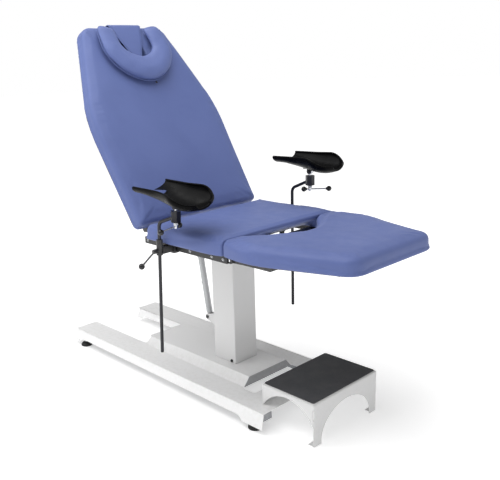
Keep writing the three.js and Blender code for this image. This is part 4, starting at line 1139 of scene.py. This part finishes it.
def camera():
    yaw, pitch, roll = (math.radians(CAMERA[k]) for k in ("yaw", "pitch", "roll"))
    ahead = Vector((-math.sin(yaw) * math.cos(pitch), math.cos(yaw) * math.cos(pitch), math.sin(pitch)))
    right = Vector((math.cos(yaw), math.sin(yaw), 0))
    up = right.cross(ahead)
    tilted_right = right * math.cos(roll) + up * math.sin(roll)
    tilted_up = up * math.cos(roll) - right * math.sin(roll)
    data = bpy.data.cameras.new("camera")
    data.lens = CAMERA["lens"]
    data.shift_x, data.shift_y = CAMERA["shift"]
    data.clip_end = 60
    made = bpy.data.objects.new("camera", data)
    turn = Matrix((tilted_right, tilted_up, -ahead)).transposed().to_4x4()
    made.matrix_world = Matrix.Translation(DATUM + Vector(CAMERA["place"]) / 1000) @ turn
    bpy.context.scene.collection.objects.link(made)
    bpy.context.scene.camera = made


def area_light(name, place_at, target, size, power):
    data = bpy.data.lights.new(name, "AREA")
    data.shape = "RECTANGLE"
    data.size, data.size_y = size
    data.energy = power
    made = bpy.data.objects.new(name, data)
    made.location = place_at
    made.rotation_euler = (Vector(target) - Vector(place_at)).to_track_quat("-Z", "Y").to_euler()
    bpy.context.scene.collection.objects.link(made)


def studio():
    bm = bmesh.new()
    bmesh.ops.create_grid(bm, x_segments=1, y_segments=1, size=40)
    floor = bare_object("floor", bm, Matrix.Identity(4))
    paper = Surface("studio_paper", (253, 253, 253), 0.9)
    paper.bump(paper.noise(300, 2), 0.0002, 0.1)
    # The floor glows though it is no lamp: painted light, weaker near the chair and stronger further out.
    paper.shader.inputs["Emission Color"].default_value = (1, 1, 1, 1)
    away = paper.node("ShaderNodeVectorMath", operation="LENGTH")
    paper.link(paper.where, away.inputs[0])
    painted_floor_glow = paper.ramp(away.outputs["Value"], 0.8, 3.0, 0.36, 0.68)  # painted glow: weaker near the chair so its shadows show, plain white further out
    paper.link(painted_floor_glow, paper.shader.inputs["Emission Strength"])
    floor.data.materials.append(paper.material)
    world = bpy.data.worlds.new("studio")
    world.use_nodes = True
    tree = world.node_tree
    background = tree.nodes["Background"]
    background.inputs["Color"].default_value = (1, 1, 1, 1)
    height = tree.nodes.new("ShaderNodeSeparateXYZ")
    tree.links.new(tree.nodes.new("ShaderNodeTexCoord").outputs["Generated"], height.inputs["Vector"])
    fade = tree.nodes.new("ShaderNodeMapRange")  # white along the horizon, softer overhead
    for key, value in (("From Min", 0.1), ("From Max", 0.16), ("To Min", 1.0), ("To Max", 0.4)):
        fade.inputs[key].default_value = value
    tree.links.new(height.outputs["Z"], fade.inputs["Value"])
    tree.links.new(fade.outputs["Result"], background.inputs["Strength"])
    bpy.context.scene.world = world
    area_light("softbox_top", (-0.2, -0.8, 3.6), (0, 0, 0.5), (3.6, 3.6), 116)
    area_light("softbox_side", (-1.7, -2.8, 2.5), (0, 0, 0.2), (2.4, 2.0), 16)
    bpy.context.scene.view_settings.view_transform = "Standard"


dress_frame()
base_cover()
tunnel()
step()
feet()
screws()
gas_spring()
for rest_side, rest in RESTS.items():
    leg_rest(rest_side, rest)
seat_pad()
leg_pad()
back_pad()
strap()
pillow()
camera()
studio()
